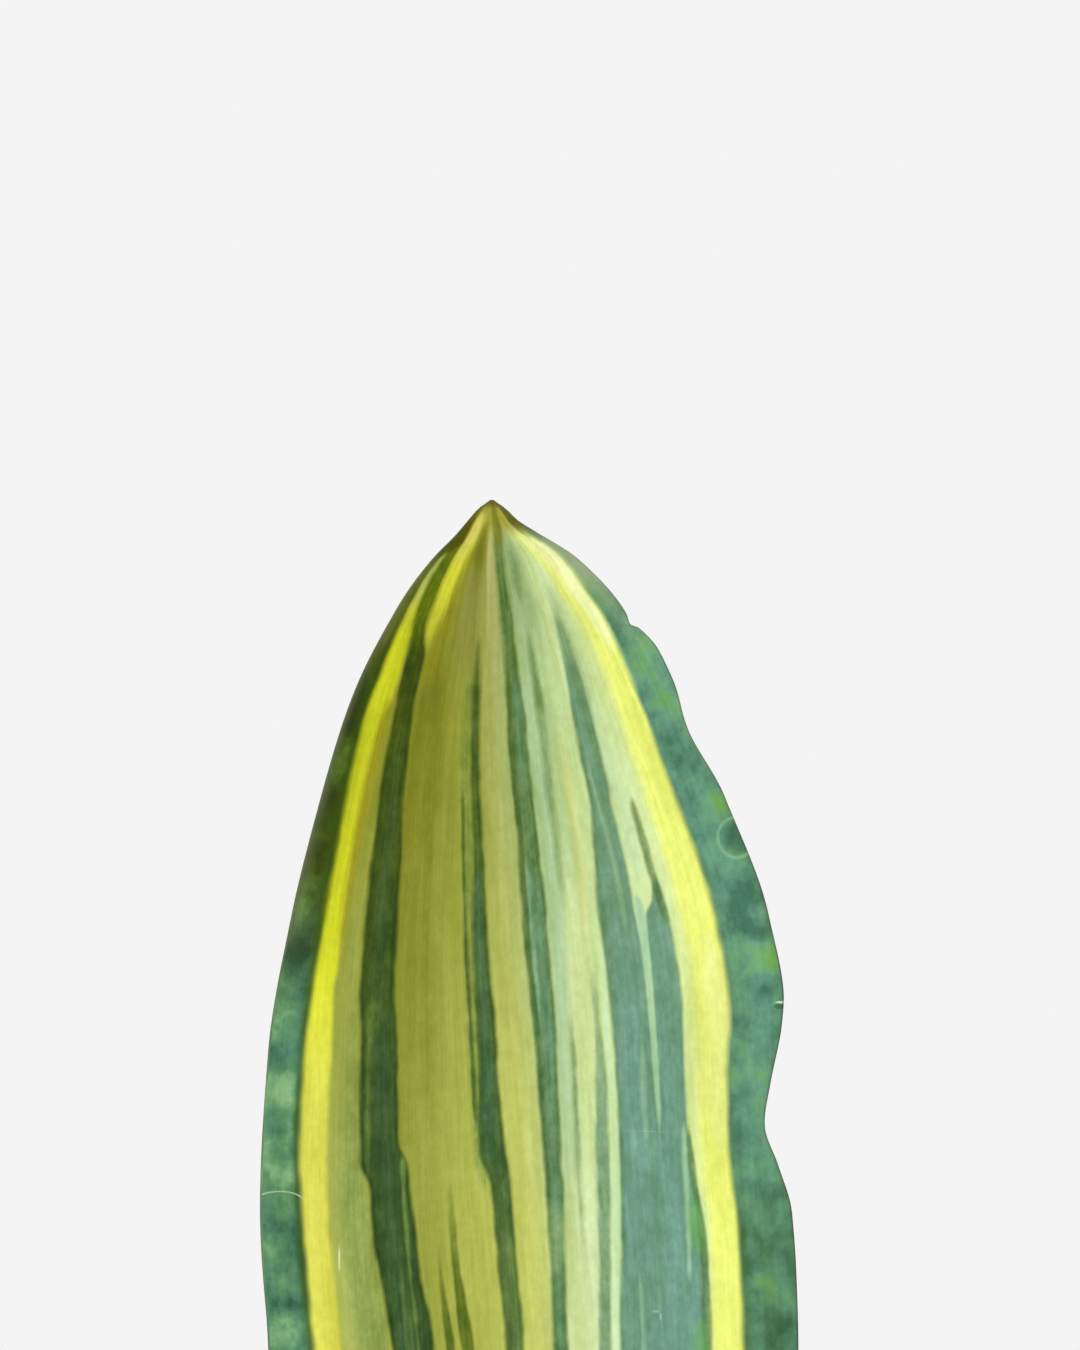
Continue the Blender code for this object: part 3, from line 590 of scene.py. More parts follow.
def maths(tree, operation, *values):
    """A sum, product or other operation on numbers."""
    return put(tree, "Math", {"operation": operation}, dict(enumerate(values))).outputs[0]


def times(tree, first, second):
    """The product of two numbers."""
    return maths(tree, "MULTIPLY", first, second)


def spread(tree, value, low, high, to_low=0.0, to_high=1.0):
    """Maps low..high smoothly onto to_low..to_high."""
    places = {"Value": value, 1: low, 2: high, 3: to_low, 4: to_high}
    return put(tree, "MapRange", {"interpolation_type": "SMOOTHSTEP"}, places).outputs[0]


def mixed(tree, share, first, second):
    """Mixes two numbers."""
    return put(tree, "Mix", {"data_type": "FLOAT"}, {0: share, 2: first, 3: second}).outputs[0]


def blend(tree, share, first, second, kind="MIX"):
    """Mixes two colours."""
    settings = {"data_type": "RGBA", "blend_type": kind}
    return put(tree, "Mix", settings, {0: share, 6: first, 7: second}).outputs[2]


def tinted(tree, colour, tint):
    """Multiplies two colours."""
    return blend(tree, 1.0, colour, tint, "MULTIPLY")


def ramp(tree, value, stops):
    """A colour ramp through (position, colour) stops."""
    node = put(tree, "ValToRGB", {}, {"Fac": value})
    elements = node.color_ramp.elements
    while len(elements) < len(stops):
        elements.new(0.5)
    for element, (position, colour) in zip(elements, stops):
        element.position = position
        element.color = colour
    return node.outputs["Color"]


def cloud(tree, place, scale, detail=3.0, roughness=0.5, stretch=(1, 1, 1)):
    """A noise value of about 0 to 1 over stretched places."""
    mapped = put(tree, "Mapping", {}, {"Vector": place, "Scale": stretch}).outputs[0]
    values = {"Vector": mapped, "Scale": scale, "Detail": detail, "Roughness": roughness}
    return put(tree, "TexNoise", {}, values).outputs["Fac"]


def attribute(tree, name, output="Fac"):
    """What is stored under a name at the mesh's points."""
    return put(tree, "Attribute", {"attribute_name": name}, {}).outputs[output]


def solid_place(tree):
    """The place in the object, in metres."""
    return put(tree, "TexCoord", {}, {}).outputs["Object"]


def part_of(tree, vector, axis):
    """One number of a vector."""
    return put(tree, "SeparateXYZ", {}, {"Vector": vector}).outputs[axis]


def new_material(name, roughness, display):
    """A material with a Principled BSDF, ready for its nodes."""
    made = bpy.data.materials.new(name)
    made.use_nodes = True
    made.diffuse_color = display
    shader = made.node_tree.nodes["Principled BSDF"]
    shader.inputs["Roughness"].default_value = roughness
    shader.inputs["Base Color"].default_value = display
    return made, made.node_tree, shader


def bump(tree, shader, height, strength, distance):
    """Fine relief, shown by shading alone."""
    values = {"Height": height, "Strength": strength, "Distance": distance}
    tree.links.new(put(tree, "Bump", {}, values).outputs[0], shader.inputs["Normal"])


def speckle_group():
    """Fine grains scattered over a surface, for the clay, the soil and the bark."""
    group, given, result = new_group(
        "speckle",
        {"Place": ("Vector", None), "Size": ("Float", 0.001), "Share": ("Float", 0.3)},
        {"Grains": "Float"},
    )
    scale = maths(group, "DIVIDE", 1.0, given["Size"])
    cells = put(group, "TexVoronoi", {}, {"Vector": given["Place"], "Scale": scale})
    tint = put(group, "SeparateColor", {}, {"Color": cells.outputs["Color"]}).outputs[0]
    chosen = maths(group, "LESS_THAN", tint, given["Share"])
    core = spread(group, cells.outputs["Distance"], 0.15, 0.45, 1.0, 0.0)
    group.links.new(times(group, chosen, core), result["Grains"])
    return group


def stripe_group():
    """One stripe down the leaf: where it is, and the narrow line just inside its edges.

    Reach holds the mm from its left edge, the mm to its right edge and its strength.
    """
    inputs = {"Reach": ("Color", None), "Softness": ("Float", 0.5)}
    group, given, result = new_group("leaf_stripe", inputs, {"Mask": "Float", "Rim": "Float"})
    reach = put(group, "SeparateColor", {}, {"Color": given["Reach"]}).outputs
    inside = maths(group, "MINIMUM", reach[0], reach[1])
    share = maths(group, "DIVIDE", inside, given["Softness"])
    group.links.new(spread(group, share, -1.0, 1.0, 0.0, reach[2]), result["Mask"])
    group.links.new(spread(group, inside, 0.2, 2.4, 1.0, 0.0), result["Rim"])
    return group


def scar_group():
    """A thin oval line, or a filled oval tick where Line is 0, at a place on the leaf."""
    group, given, result = new_group(
        "leaf_scar",
        {
            "Place": ("Vector", None),
            "Centre": ("Vector", None),
            "Reach": ("Vector", None),
            "Line": ("Float", 0.3),
            "Shown": ("Float", 2.0),
        },
        {"Mask": "Float"},
    )
    offset = put(group, "VectorMath", {"operation": "SUBTRACT"}, {0: given["Place"], 1: given["Centre"]})
    scaled = put(group, "VectorMath", {"operation": "DIVIDE"}, {0: offset.outputs[0], 1: given["Reach"]})
    length = put(group, "VectorMath", {"operation": "LENGTH"}, {0: scaled.outputs[0]}).outputs["Value"]
    off_line = maths(group, "ABSOLUTE", maths(group, "SUBTRACT", length, 1.0))
    off_line = times(group, off_line, part_of(group, given["Reach"], 0))
    line_widths = maths(group, "DIVIDE", off_line, maths(group, "MAXIMUM", given["Line"], THINNEST_SCAR))
    ring = spread(group, line_widths, 0.3, 1.2, 1.0, 0.0)
    down = maths(group, "SUBTRACT", part_of(group, scaled.outputs[0], 1), given["Shown"])
    upper = spread(group, down, -0.25, 0.25, 1.0, 0.0)
    filled = spread(group, length, 0.6, 1.2, 1.0, 0.0)
    lined = maths(group, "GREATER_THAN", given["Line"], THINNEST_SCAR)
    ring = times(group, times(group, ring, upper), lined)
    filled = times(group, filled, maths(group, "SUBTRACT", 1.0, lined))
    group.links.new(maths(group, "ADD", ring, filled), result["Mask"])
    return group


def use(tree, group, values):
    """Places a group in a tree and returns its outputs."""
    return put(tree, "Group", {"node_tree": group}, values).outputs


def flecked(tree, speckle, colour, size, share, strength, tone):
    """Puts grains of another tone on a colour. Returns it, and where the grains are."""
    grains = use(tree, speckle, {"Place": solid_place(tree), "Size": size, "Share": share})["Grains"]
    return blend(tree, times(tree, grains, strength), colour, tone), grains


# Meshes


def linked(name, data):
    """An object with this data, in the scene."""
    made = bpy.data.objects.new(name, data)
    bpy.context.scene.collection.objects.link(made)
    return made


def mesh_object(name, points, faces, surface, smooth=True):
    """A piece made of points and faces, with its material."""
    mesh = bpy.data.meshes.new(name)
    mesh.from_pydata(points, [], faces)
    if smooth:
        mesh.shade_smooth()
    mesh.materials.append(surface)
    return linked(name, mesh)


def lofted(name, rings, surface, wrap=False):
    """A closed skin through rings of points that run down and turn left to right in front."""
    rows, columns = rings.shape[:2]
    index = np.arange(rows * columns).reshape(rows, columns)
    after = np.roll(index, -1, axis=1)
    if wrap:
        lower, lower_after = np.roll(index, -1, axis=0), np.roll(after, -1, axis=0)
        upper, upper_after = index, after
    else:
        lower, lower_after = index[1:], after[1:]
        upper, upper_after = index[:-1], after[:-1]
    faces = np.stack([upper, lower, lower_after, upper_after], axis=-1).reshape(-1, 4).tolist()
    points = rings.reshape(-1, 3).tolist()
    if not wrap:
        for row, turned in ((0, False), (rows - 1, True)):
            middle = len(points)
            points.append(rings[row].mean(axis=0).tolist())
            for k in range(columns):
                a, b = int(index[row, k]), int(after[row, k])
                faces.append((middle, b, a) if turned else (middle, a, b))
    return mesh_object(name, points, faces, surface)


def grid_unwrap(made, rows, columns, wrap=False):
    """Lays the skin of lofted flat for baking: columns across, rows down, and the ends in thin rims."""
    layer = made.data.uv_layers.new(name="OFBake")
    faces = rows if wrap else rows - 1
    row = np.repeat(np.arange(faces), columns)
    column = np.tile(np.arange(columns), faces)
    across = np.stack([column, column, column + 1, column + 1], axis=-1) / columns
    down = np.stack([row, row + 1, row + 1, row], axis=-1) / faces
    flat = np.zeros((len(made.data.loops), 2))
    used = faces * columns * 4
    inset = 0.01
    flat[:used, 0] = inset + (1 - 2 * inset) * across.ravel()
    flat[:used, 1] = 1 - inset - (1 - 2 * inset) * down.ravel()
    first_end = used + (len(flat) - used) // 2
    flat[used:first_end] = (0.5, 0.992)
    flat[first_end:] = (0.5, 0.008)
    layer.data.foreach_set("uv", flat.ravel())


# Leaf


def ease(reach, start):
    """Grows from 0 at start to 1 at the margin."""
    return np.maximum(0.0, (reach - start) / (1 - start)) ** 2


def leaf_turns():
    """Angles round the leaf's section, closer together at the margins, with the front first."""
    t = np.linspace(-1, 1, LEAF_COLUMNS, endpoint=False)
    half = 0.5 * (np.pi / 2) * (1 + t) + 0.5 * np.arccos(-t)
    return np.concatenate([np.pi + half, 2 * np.pi + half])


def leaf_rows():
    """Heights of the leaf's rings in mm below the tip, closer together at the tip and at the notch."""
    rows = [0.0, 0.4, 0.8]
    while rows[-1] < BASE_MM:
        near_notch = abs(rows[-1] - NOTCH_MM) < NOTCH_REACH_MM
        rows.append(rows[-1] + (NOTCH_ROW_MM if near_notch else LEAF_ROW_MM))
    rows[-1] = BASE_MM
    return rows


def leaf_section(below_tip, angles, relief=None, grow=0.0):
    """The leaf's section at a height: an ellipse bent along the channel, in metres."""
    rib = MIDRIB_AT(below_tip) * MM
    channel = CHANNEL_AT(below_tip) * MM
    flange = FLANGE_AT(below_tip)
    half_thick = THICKNESS_AT(below_tip) * MM / 2
    across, lift = np.cos(angles), np.sin(angles)
    reach = np.abs(across)
    right = across > 0
    half = np.where(right, RIGHT_AT(below_tip) * MM - rib, rib - LEFT_AT(below_tip) * MM)
    scallop = np.where(right, RIGHT_SCALLOPS_AT(below_tip), -LEFT_SCALLOPS_AT(below_tip)) * MM
    ripple = np.where(right, RIGHT_RIPPLE_AT(below_tip), LEFT_RIPPLE_AT(below_tip)) * MM
    trough = (1 - flange) * reach**2 + flange * reach**2 * (3 - 2 * reach)
    steepness = (1 - flange) * 2 * reach + flange * 6 * reach * (1 - reach)
    slope = -channel * np.sign(across) * steepness / half
    length = np.hypot(1, slope)
    thick = half_thick if relief is None else half_thick + relief
    x = rib + half * across - lift * thick * slope / length + scallop * ease(reach, SCALLOP_START)
    y = SPINE_AT(below_tip) * MM - channel * trough + lift * thick / length
    y = y + ripple * ease(reach, RIPPLE_START)
    away_x, away_y = across * (half_thick + CLEARANCE), lift * half
    size = np.hypot(away_x, away_y)
    z = np.full_like(x, TIP_HEIGHT - below_tip * MM)
    return np.stack([x + grow * away_x / size, y + grow * away_y / size, z], axis=-1)


def waves(relief, across, below_tip, shift):
    """The sum of noises, each given by how wide, long and high it is and by its seed, at a place."""
    return sum(
        high * noise.noise((across / wide, below_tip / long, shift + seed))
        for wide, long, high, seed in relief)


def progress(value, start, reach):
    """How far a value has come from start, as a share of reach that stays between 0 and 1."""
    return min(max((value - start) / reach, 0.0), 1.0)


def leaf_relief(below_tip, angles):
    """Faint ridges down the leaf and slight unevenness, in metres, on both faces."""
    rib = MIDRIB_AT(below_tip)
    heights = []
    for angle in angles:
        across = math.cos(angle)
        x = across * (RIGHT_AT(below_tip) - rib if across > 0 else rib - LEFT_AT(below_tip))
        shift = RELIEF_BACK_SEED if math.sin(angle) > 0 else 0
        heights.append(waves(LEAF_RELIEF, x, below_tip, shift))
    return np.array(heights) * MM


def base_sections(top, depth):
    """The plain oval base below the soil's surface."""
    return [top * (narrow, narrow, 1) - (0, 0, depth * share) for share, narrow in BASE_TAPER]


def build_leaf(surface):
    """The leaf, one closed skin from its tip to the end of its base, with its measures."""
    angles = leaf_turns()
    rows = leaf_rows()
    rings = [leaf_section(row, angles, leaf_relief(row, angles)) for row in rows]
    rings += base_sections(leaf_section(BASE_MM, angles), BASE_DEPTH)
    rows += [BASE_MM + BASE_DEPTH / MM * share for share, _ in BASE_TAPER]
    rings = np.array(rings)
    leaf = lofted("snake_plant_leaf", rings, surface)
    grid_unwrap(leaf, len(rings), len(angles))
    add_leaf_measures(leaf.data, rings, rows, angles)
    return leaf


def add_leaf_measures(mesh, rings, rows, angles):
    """Stores the leaf's own places at its points, for the material to read.

    leaf_flow runs from -1 at the left margin to 1 at the right one, past the scallops. leaf_skin is
    mm across, mm below the tip and which face, and leaf_grain the same but following the stripes.
    leaf_edge is the distance to the margin in mm. stripe_NAME holds the mm from a stripe's left edge,
    the mm to its right one and its strength, and leaf_blotches how light the margins are.
    """
    columns = len(angles)
    capped = np.minimum(rows, BASE_MM)
    curves = (MIDRIB_AT, LEFT_AT, RIGHT_AT, LEFT_SCALLOPS_AT, RIGHT_SCALLOPS_AT)
    rib, left, right, scallop_left, scallop_right = [
        np.repeat([curve(row) for row in capped], columns) for curve in curves]
    below = np.repeat(rows, columns)
    x = rings[:, :, 0].ravel() / MM
    half = np.where(x > rib, right - rib, rib - left)
    flow = (x - rib) / half
    back = np.tile(np.sin(angles) > 0, len(rows)).astype(float)
    sway, fray = stray(flow * GRAIN_HALF_WIDTH, below, back)
    store(mesh, "leaf_flow", flow + sway / half)
    store(mesh, "leaf_edge", np.minimum(right + scallop_right - x, x - left + scallop_left))
    store(mesh, "leaf_skin", np.stack([x, below, back * BACK_SHIFT], axis=-1))
    store(mesh, "leaf_grain", np.stack([flow * GRAIN_HALF_WIDTH, below, back * BACK_SHIFT], axis=-1))
    lightness = np.zeros_like(x)
    for edge_place, place, reach_across, reach_down, light in BLOTCHES + lower_blotches():
        off = np.hypot((flow * 100 - edge_place) / reach_across, (below - place) / reach_down)
        lightness += light * np.exp(-off**2)
    store(mesh, "leaf_blotches", lightness)
    for name, _, strength, _, places in STRIPES:
        strength_at = smooth_curve(strength if isinstance(strength, list) else [(0, strength), (1, strength)])
        left_edge = smooth_curve([(d, a) for d, a, _ in places])
        right_edge = smooth_curve([(d, b) for d, _, b in places])
        held = [stripe_reach(left_edge(row), right_edge(row), row, places[0][0]) for row in rows]
        first, last, share = np.repeat(held, columns, axis=0).T
        edges = [x - first + sway + fray, last - x - sway + fray]
        share = share * np.repeat([strength_at(row) for row in rows], columns)
        store(mesh, "stripe_" + name, np.stack([*edges, share], axis=-1))


def stray(grain, below, back):
    """How far the stripes' edges sway sideways, and how much they fray outwards, in mm at each point."""
    sway, fray = [], []
    for across, place, shift in zip(grain, below, back * STRAY_BACK_SEED):
        unseen = progress(place, UNSEEN_FROM, UNSEEN_REACH)
        far = SWAY_SEEN + (SWAY_UNSEEN - SWAY_SEEN) * unseen
        sway.append(waves([(*SWAY_SIZE, far, 0)], across, place, shift))
        fray.append(waves(FRAY, across, place, shift))
    return np.array(sway), np.array(fray)


def lower_blotches():
    """Blotches for the part of the margins below the last placed one."""
    draw = random.Random(4)
    blotches = []
    for side in (-1, 1):
        place = LAST_BLOTCH_MM
        light = 1
        while place < BASE_MM:
            reach = draw.uniform(4.0, 7.5)
            edge_place = side * draw.uniform(86, 96)
            blotches.append((edge_place, place, draw.uniform(6, 11), reach, light * draw.uniform(0.4, 1.0)))
            place += reach * draw.uniform(1.5, 2.2)
            light = -light
    return blotches


def stripe_reach(left, right, below_tip, start):
    """A stripe's two edges at a height, in mm from the axis, and how far it has faded in there."""
    row = min(below_tip, BASE_MM)
    rib = MIDRIB_AT(row)
    edges = [rib + a / 100 * (RIGHT_AT(row) - rib if a > 0 else rib - LEFT_AT(row)) for a in (left, right)]
    started = 1.0 if start == 0 else progress(below_tip, start, STRIPE_START_MM)
    wide_enough = progress(edges[1] - edges[0], -STRIPE_PAST_MM, STRIPE_FADE_MM)
    return *edges, started * wide_enough


def store(mesh, name, values):
    """Adds a number or a vector at each point. The two points that close the ends repeat their neighbours."""
    values = np.concatenate([values, values[:1], values[-1:]])
    if values.ndim == 1:
        mesh.attributes.new(name, "FLOAT", "POINT").data.foreach_set("value", values)
    else:
        mesh.attributes.new(name, "FLOAT_VECTOR", "POINT").data.foreach_set("vector", values.ravel())


# Leaf material


def leaf_material():
    """Waxy leaf skin: yellow-green ground, dark and lemon stripes, mottled green margins, healed scars,
    with painted shade on the hollow's left half and a painted sheen on its right half.
    """
    made, tree, shader = new_material("leaf_skin", 0.42, rgb(150, 165, 70))
    shader.inputs["Specular IOR Level"].default_value = 0.15
    places = {name: attribute(tree, name, "Vector") for name in ("leaf_grain", "leaf_skin")}
    skin = places["leaf_skin"]
    below = part_of(tree, skin, 1)
    lower = spread(tree, below, *LOWER_REACH)
    streaks = {
        name: spread(tree, cloud(tree, places[place], *settings), *turn)
        for name, (place, *settings, turn) in STREAKS.items()}

    top, low, play, rim = leaf_stripes(tree, skin, below)
    colour = blend(tree, lower, top, low)
    pale_play, dark_play = [played(tree, streaks, factors) for factors in (PALE_PLAY, DARK_PLAY)]
    colour = tinted(tree, colour, blend(tree, play, pale_play, dark_play))
    colour = blend(tree, times(tree, rim, RIM_STRENGTH), colour, tinted(tree, colour, RIM_TINT))
    colour = leaf_ends(tree, colour, below, attribute(tree, "leaf_edge"))
    colour = leaf_scars(tree, colour, skin)
    tree.links.new(colour, shader.inputs["Base Color"])

    shine = cloud(tree, skin, 0.12, 3.0, 0.5, (1.0, 0.3, 1.0))
    tree.links.new(spread(tree, shine, 0.3, 0.7, 0.38, 0.52), shader.inputs["Roughness"])
    bump(tree, shader, maths(tree, "ADD", streaks["fine"], streaks["mottle"]), 0.25, 0.0002)
    return made


def leaf_stripes(tree, skin, below):
    """The ground and every stripe on it, as near the tip and as lower down, and their play and rims."""
    place = maths(tree, "MULTIPLY_ADD", attribute(tree, "leaf_flow"), 0.5, 0.5)
    top, low = [
        ramp(tree, place, [(0.5 + a / 200, rgb(*tone)) for a, tone in ground])
        for ground in (GROUND_TOP, GROUND_LOW)]
    play, rim = 0.0, 0.0
    stripe = stripe_group()
    for name, tone, _, softness, _ in STRIPES:
        reach = attribute(tree, "stripe_" + name, "Color")
        found = use(tree, stripe, {"Reach": reach, "Softness": softness})
        top_paint, low_paint = stripe_paints(tree, tone, skin, below)
        top = blend(tree, found["Mask"], top, top_paint)
        low = blend(tree, found["Mask"], low, low_paint)
        play = mixed(tree, found["Mask"], play, PLAYS.get(tone, 0.0))
        rim = mixed(tree, found["Mask"], rim, found["Rim"] if tone in RIMMED_TONES else 0.0)
    return top, low, play, rim


def stripe_paints(tree, tone, skin, below):
    """A tone's colour near the tip and lower down. Some tones turn at heights of their own."""
    if tone not in LOWER_REACHES:
        return rgb(*TONES[tone][0]), rgb(*TONES[tone][-1])
    lower = spread(tree, below, *LOWER_REACHES[tone])
    if tone in MARGIN_TONES:
        paint = margin_paint(tree, tone, skin, lower)
    else:
        paint = blend(tree, lower, *[rgb(*shade) for shade in TONES[tone]])
    return paint, paint


def played(tree, streaks, factors):
    """By how much all the streaks together darken or lighten a colour."""
    shades = [
        blend(tree, streaks[name], (*darkest, 1), (*lightest, 1))
        for name, (darkest, lightest) in factors.items()]
    play = shades[0]
    for shade in shades[1:]:
        play = tinted(tree, play, shade)
    return play


def margin_paint(tree, tone, skin, lower):
    """The green margins: patches of four greens that lie a little crosswise."""
    patches = cloud(tree, skin, 0.12, 5.0, 0.58, (1.0, 0.8, 1.0))
    patches = maths(tree, "MULTIPLY_ADD", patches, 0.7, 0.15)
    value = maths(tree, "MULTIPLY_ADD", attribute(tree, "leaf_blotches"), 0.12, patches)
    stops = (0.36, 0.465, 0.555, 0.67)
    top, low = [
        ramp(tree, value, [(stop, rgb(*green)) for stop, green in zip(stops, greens)])
        for greens in MARGIN_TONES[tone]]
    return blend(tree, lower, top, low)


def leaf_ends(tree, colour, below, edge):
    """The brown point and hard brown edge, and the paler green of the base just above the soil."""
    brown = blend(tree, spread(tree, below, *BROWN_TURNS), rgb(90, 84, 10), rgb(104, 102, 74))
    line = spread(tree, edge, *BROWN_EDGE, spread(tree, below, *BROWN_EDGE_FADES, 0.7, 0.4), 0.0)
    colour = blend(tree, line, colour, brown)
    point = spread(tree, below, *BROWN_POINT, 0.95, 0.0)
    colour = blend(tree, point, colour, rgb(92, 88, 8))
    deep = spread(tree, below, *DEEP_GREEN, 0.0, 0.45)
    colour = blend(tree, deep, colour, tinted(tree, colour, rgb(150, 180, 130)))
    pale = spread(tree, below, *PALE_BASE, 0.0, 0.6)
    return blend(tree, pale, colour, rgb(186, 196, 142))


def leaf_scars(tree, colour, skin):
    """Paints every scar over the colour."""
    scar = scar_group()
    for x, below, reach_x, reach_y, line, shown, strength, tone in SCARS:
        centre, reach = (x, below, 0), (reach_x, reach_y, 1)
        values = {"Place": skin, "Centre": centre, "Reach": reach, "Line": line, "Shown": shown}
        found = use(tree, scar, values)
        colour = blend(tree, times(tree, found["Mask"], strength), colour, tone)
    return colour


# Pot


def filleted(corners):
    """A closed outline of (x, z, fillet radius, steps) corners, with each corner made an arc."""
    points = []
    for i, (x, z, radius, steps) in enumerate(corners):
        if radius == 0:
            points.append((x, z))
            continue
        before, after = corners[i - 1], corners[(i + 1) % len(corners)]
        to_before = math.atan2(before[1] - z, before[0] - x)
        to_after = math.atan2(after[1] - z, after[0] - x)
        opening = math.remainder(to_after - to_before, math.tau)
        reach = radius / math.tan(abs(opening) / 2)
        middle = to_before + opening / 2
        to_centre = radius / math.sin(abs(opening) / 2)
        centre = (x + to_centre * math.cos(middle), z + to_centre * math.sin(middle))
        start = (x + reach * math.cos(to_before), z + reach * math.sin(to_before))
        first = math.atan2(start[1] - centre[1], start[0] - centre[0])
        sweep = -math.copysign(math.pi - abs(opening), opening)
        for k in range(steps + 1):
            angle = first + sweep * k / steps
            points.append((centre[0] + radius * math.cos(angle), centre[1] + radius * math.sin(angle)))
    return points


def inner_corners():
    """The pot's inner corners from the floor up, as (radius, height)."""
    band_foot = POT_HEIGHT - BAND_HEIGHT
    wall_top = BAND_FOOT_RADIUS - BAND_STEP - WALL
    floor_corner = FOOT_RADIUS - WALL
    return (floor_corner, FLOOR), (wall_top, band_foot), (RIM_RADIUS - LIP, POT_HEIGHT)


def subdivided(outline, longest):
    """Splits the outline's long stretches so that no step is longer than longest."""
    points = []
    for (x, z), (next_x, next_z) in zip(outline, outline[1:] + outline[:1]):
        count = max(1, math.ceil(math.hypot(next_x - x, next_z - z) / longest))
        points += [(x + (next_x - x) * k / count, z + (next_z - z) * k / count) for k in range(count)]
    return points


def build_pot(surface):
    """Turned clay, with the faint rings that the maker's fingers leave."""
    band_foot = POT_HEIGHT - BAND_HEIGHT
    floor_corner, wall_top, lip = inner_corners()
    outline = filleted([
        (RIM_RADIUS, POT_HEIGHT, 3.5 * MM, 8),
        (BAND_FOOT_RADIUS, band_foot, 2 * MM, 5),
        (BAND_FOOT_RADIUS - BAND_STEP, band_foot - 1.5 * MM, 1.5 * MM, 5),
        (FOOT_RADIUS, 0, 2.5 * MM, 6),
        (FOOT_RADIUS - FOOT_RING, 0, 0.5 * MM, 2),
        (FOOT_RADIUS - FOOT_RING - FLOOR_RECESS, FLOOR_RECESS, 0.5 * MM, 2),
        (DRAIN_RADIUS, FLOOR_RECESS, 0.8 * MM, 4),
        (DRAIN_RADIUS, FLOOR, 0.8 * MM, 4),
        (*floor_corner, 6 * MM, 6),
        (*wall_top, 20 * MM, 3),
        (*lip, 3.5 * MM, 8),
    ])
    turns = np.arange(POT_SIDES) / POT_SIDES * math.tau - math.pi / 2
    rings = np.array([[pot_point(x, z, turn) for turn in turns] for x, z in subdivided(outline, POT_STEP)])
    pot = lofted("clay_pot", rings, surface, wrap=True)
    grid_unwrap(pot, len(rings), POT_SIDES, wrap=True)
    return pot


def pot_point(x, z, turn):
    """A point of the pot's wall. It only ever lies a little inside the plain turned shape."""
    side_x, side_y = math.cos(turn), math.sin(turn)
    groove = 0.5 + 0.5 * noise.noise((0.0, 0.0, z / GROOVE_HEIGHT))
    swell = 0.5 + 0.5 * noise.noise((side_x * SWELL_TURN, side_y * SWELL_TURN, z / SWELL_HEIGHT))
    on_foot = z < 1 * MM
    radius = x if on_foot else x - GROOVE_DEPTH * groove - SWELL_DEPTH * swell
    return (radius * side_x, radius * side_y, z)


def terracotta_material(speckle):
    """Unglazed clay: cloudy orange, fine grit, pale mineral bloom, and a damp lower wall."""
    made, tree, shader = new_material("terracotta", 0.85, rgb(184, 108, 76))
    place = solid_place(tree)
    height = part_of(tree, place, 2)
    firing = cloud(tree, place, 14.0, 4.0, 0.55)
    colour = ramp(tree, firing, [
        (0.3, rgb(166, 88, 58)), (0.5, rgb(186, 106, 74)), (0.7, rgb(204, 128, 94)),
    ])
    turning = cloud(tree, place, 90.0, 3.0, 0.6, (0.12, 0.12, 4.0))
    banded = tinted(tree, colour, rgb(226, 214, 208))
    colour = blend(tree, spread(tree, turning, 0.4, 0.64, 0.0, 0.4), colour, banded)

    patches = cloud(tree, place, 26.0, 5.0, 0.62, (1.0, 1.0, 0.6))
    damp_line = maths(tree, "MULTIPLY_ADD", patches, 0.03, SOIL_LEVEL - DAMP_DROP)
    damp = spread(tree, maths(tree, "SUBTRACT", damp_line, height), -0.006, 0.010, 0.0, 0.5)
    colour = blend(tree, damp, colour, tinted(tree, colour, rgb(214, 196, 186)))

    near_foot = spread(tree, height, *FOOT_BLOOM, 0.35, 0.0)
    off_line = maths(tree, "ABSOLUTE", maths(tree, "SUBTRACT", height, SOIL_LEVEL - BLOOM_DROP))
    near_line = spread(tree, off_line, 0.0, BLOOM_REACH, 0.3, 0.0)
    bloom = maths(tree, "ADD", maths(tree, "ADD", near_foot, near_line), 0.1)
    bloom = times(tree, bloom, spread(tree, patches, 0.42, 0.78))
    colour = blend(tree, bloom, colour, rgb(214, 186, 164))

    colour, _ = flecked(tree, speckle, colour, size=0.0011, share=0.16, strength=0.45, tone=rgb(128, 70, 50))
    pale_sand = rgb(226, 178, 146)
    colour, sand = flecked(tree, speckle, colour, size=0.0014, share=0.05, strength=0.28, tone=pale_sand)
    tree.links.new(colour, shader.inputs["Base Color"])

    pores = cloud(tree, place, 900.0, 3.0, 0.6)
    relief = maths(tree, "ADD", times(tree, turning, 0.6), times(tree, pores, 0.4))
    bump(tree, shader, maths(tree, "ADD", relief, times(tree, sand, 0.25)), 0.5, 0.0005)
    tree.links.new(spread(tree, damp, 0.0, 0.5, 0.9, 0.78), shader.inputs["Roughness"])
    return made


# Soil


def soil_edge_radius():
    """How far the soil reaches at its top, just inside the pot's wall."""
    _, wall_top, lip = inner_corners()
    flare = (lip[0] - wall_top[0]) / (lip[1] - wall_top[1])
    return wall_top[0] + flare * (SOIL_LEVEL - wall_top[1]) - 2 * CLEARANCE


def soil_height(x, y):
    """The soil's surface: a slight heap round the leaf, with clods and crumbs."""
    heap = SOIL_HEAP * (1 - math.hypot(x, y) / soil_edge_radius())
    rough = sum(
        high * noise.noise((x / (wide * MM), y / (wide * MM), seed)) for wide, high, seed in SOIL_RELIEF)
    return SOIL_LEVEL + heap + rough * MM


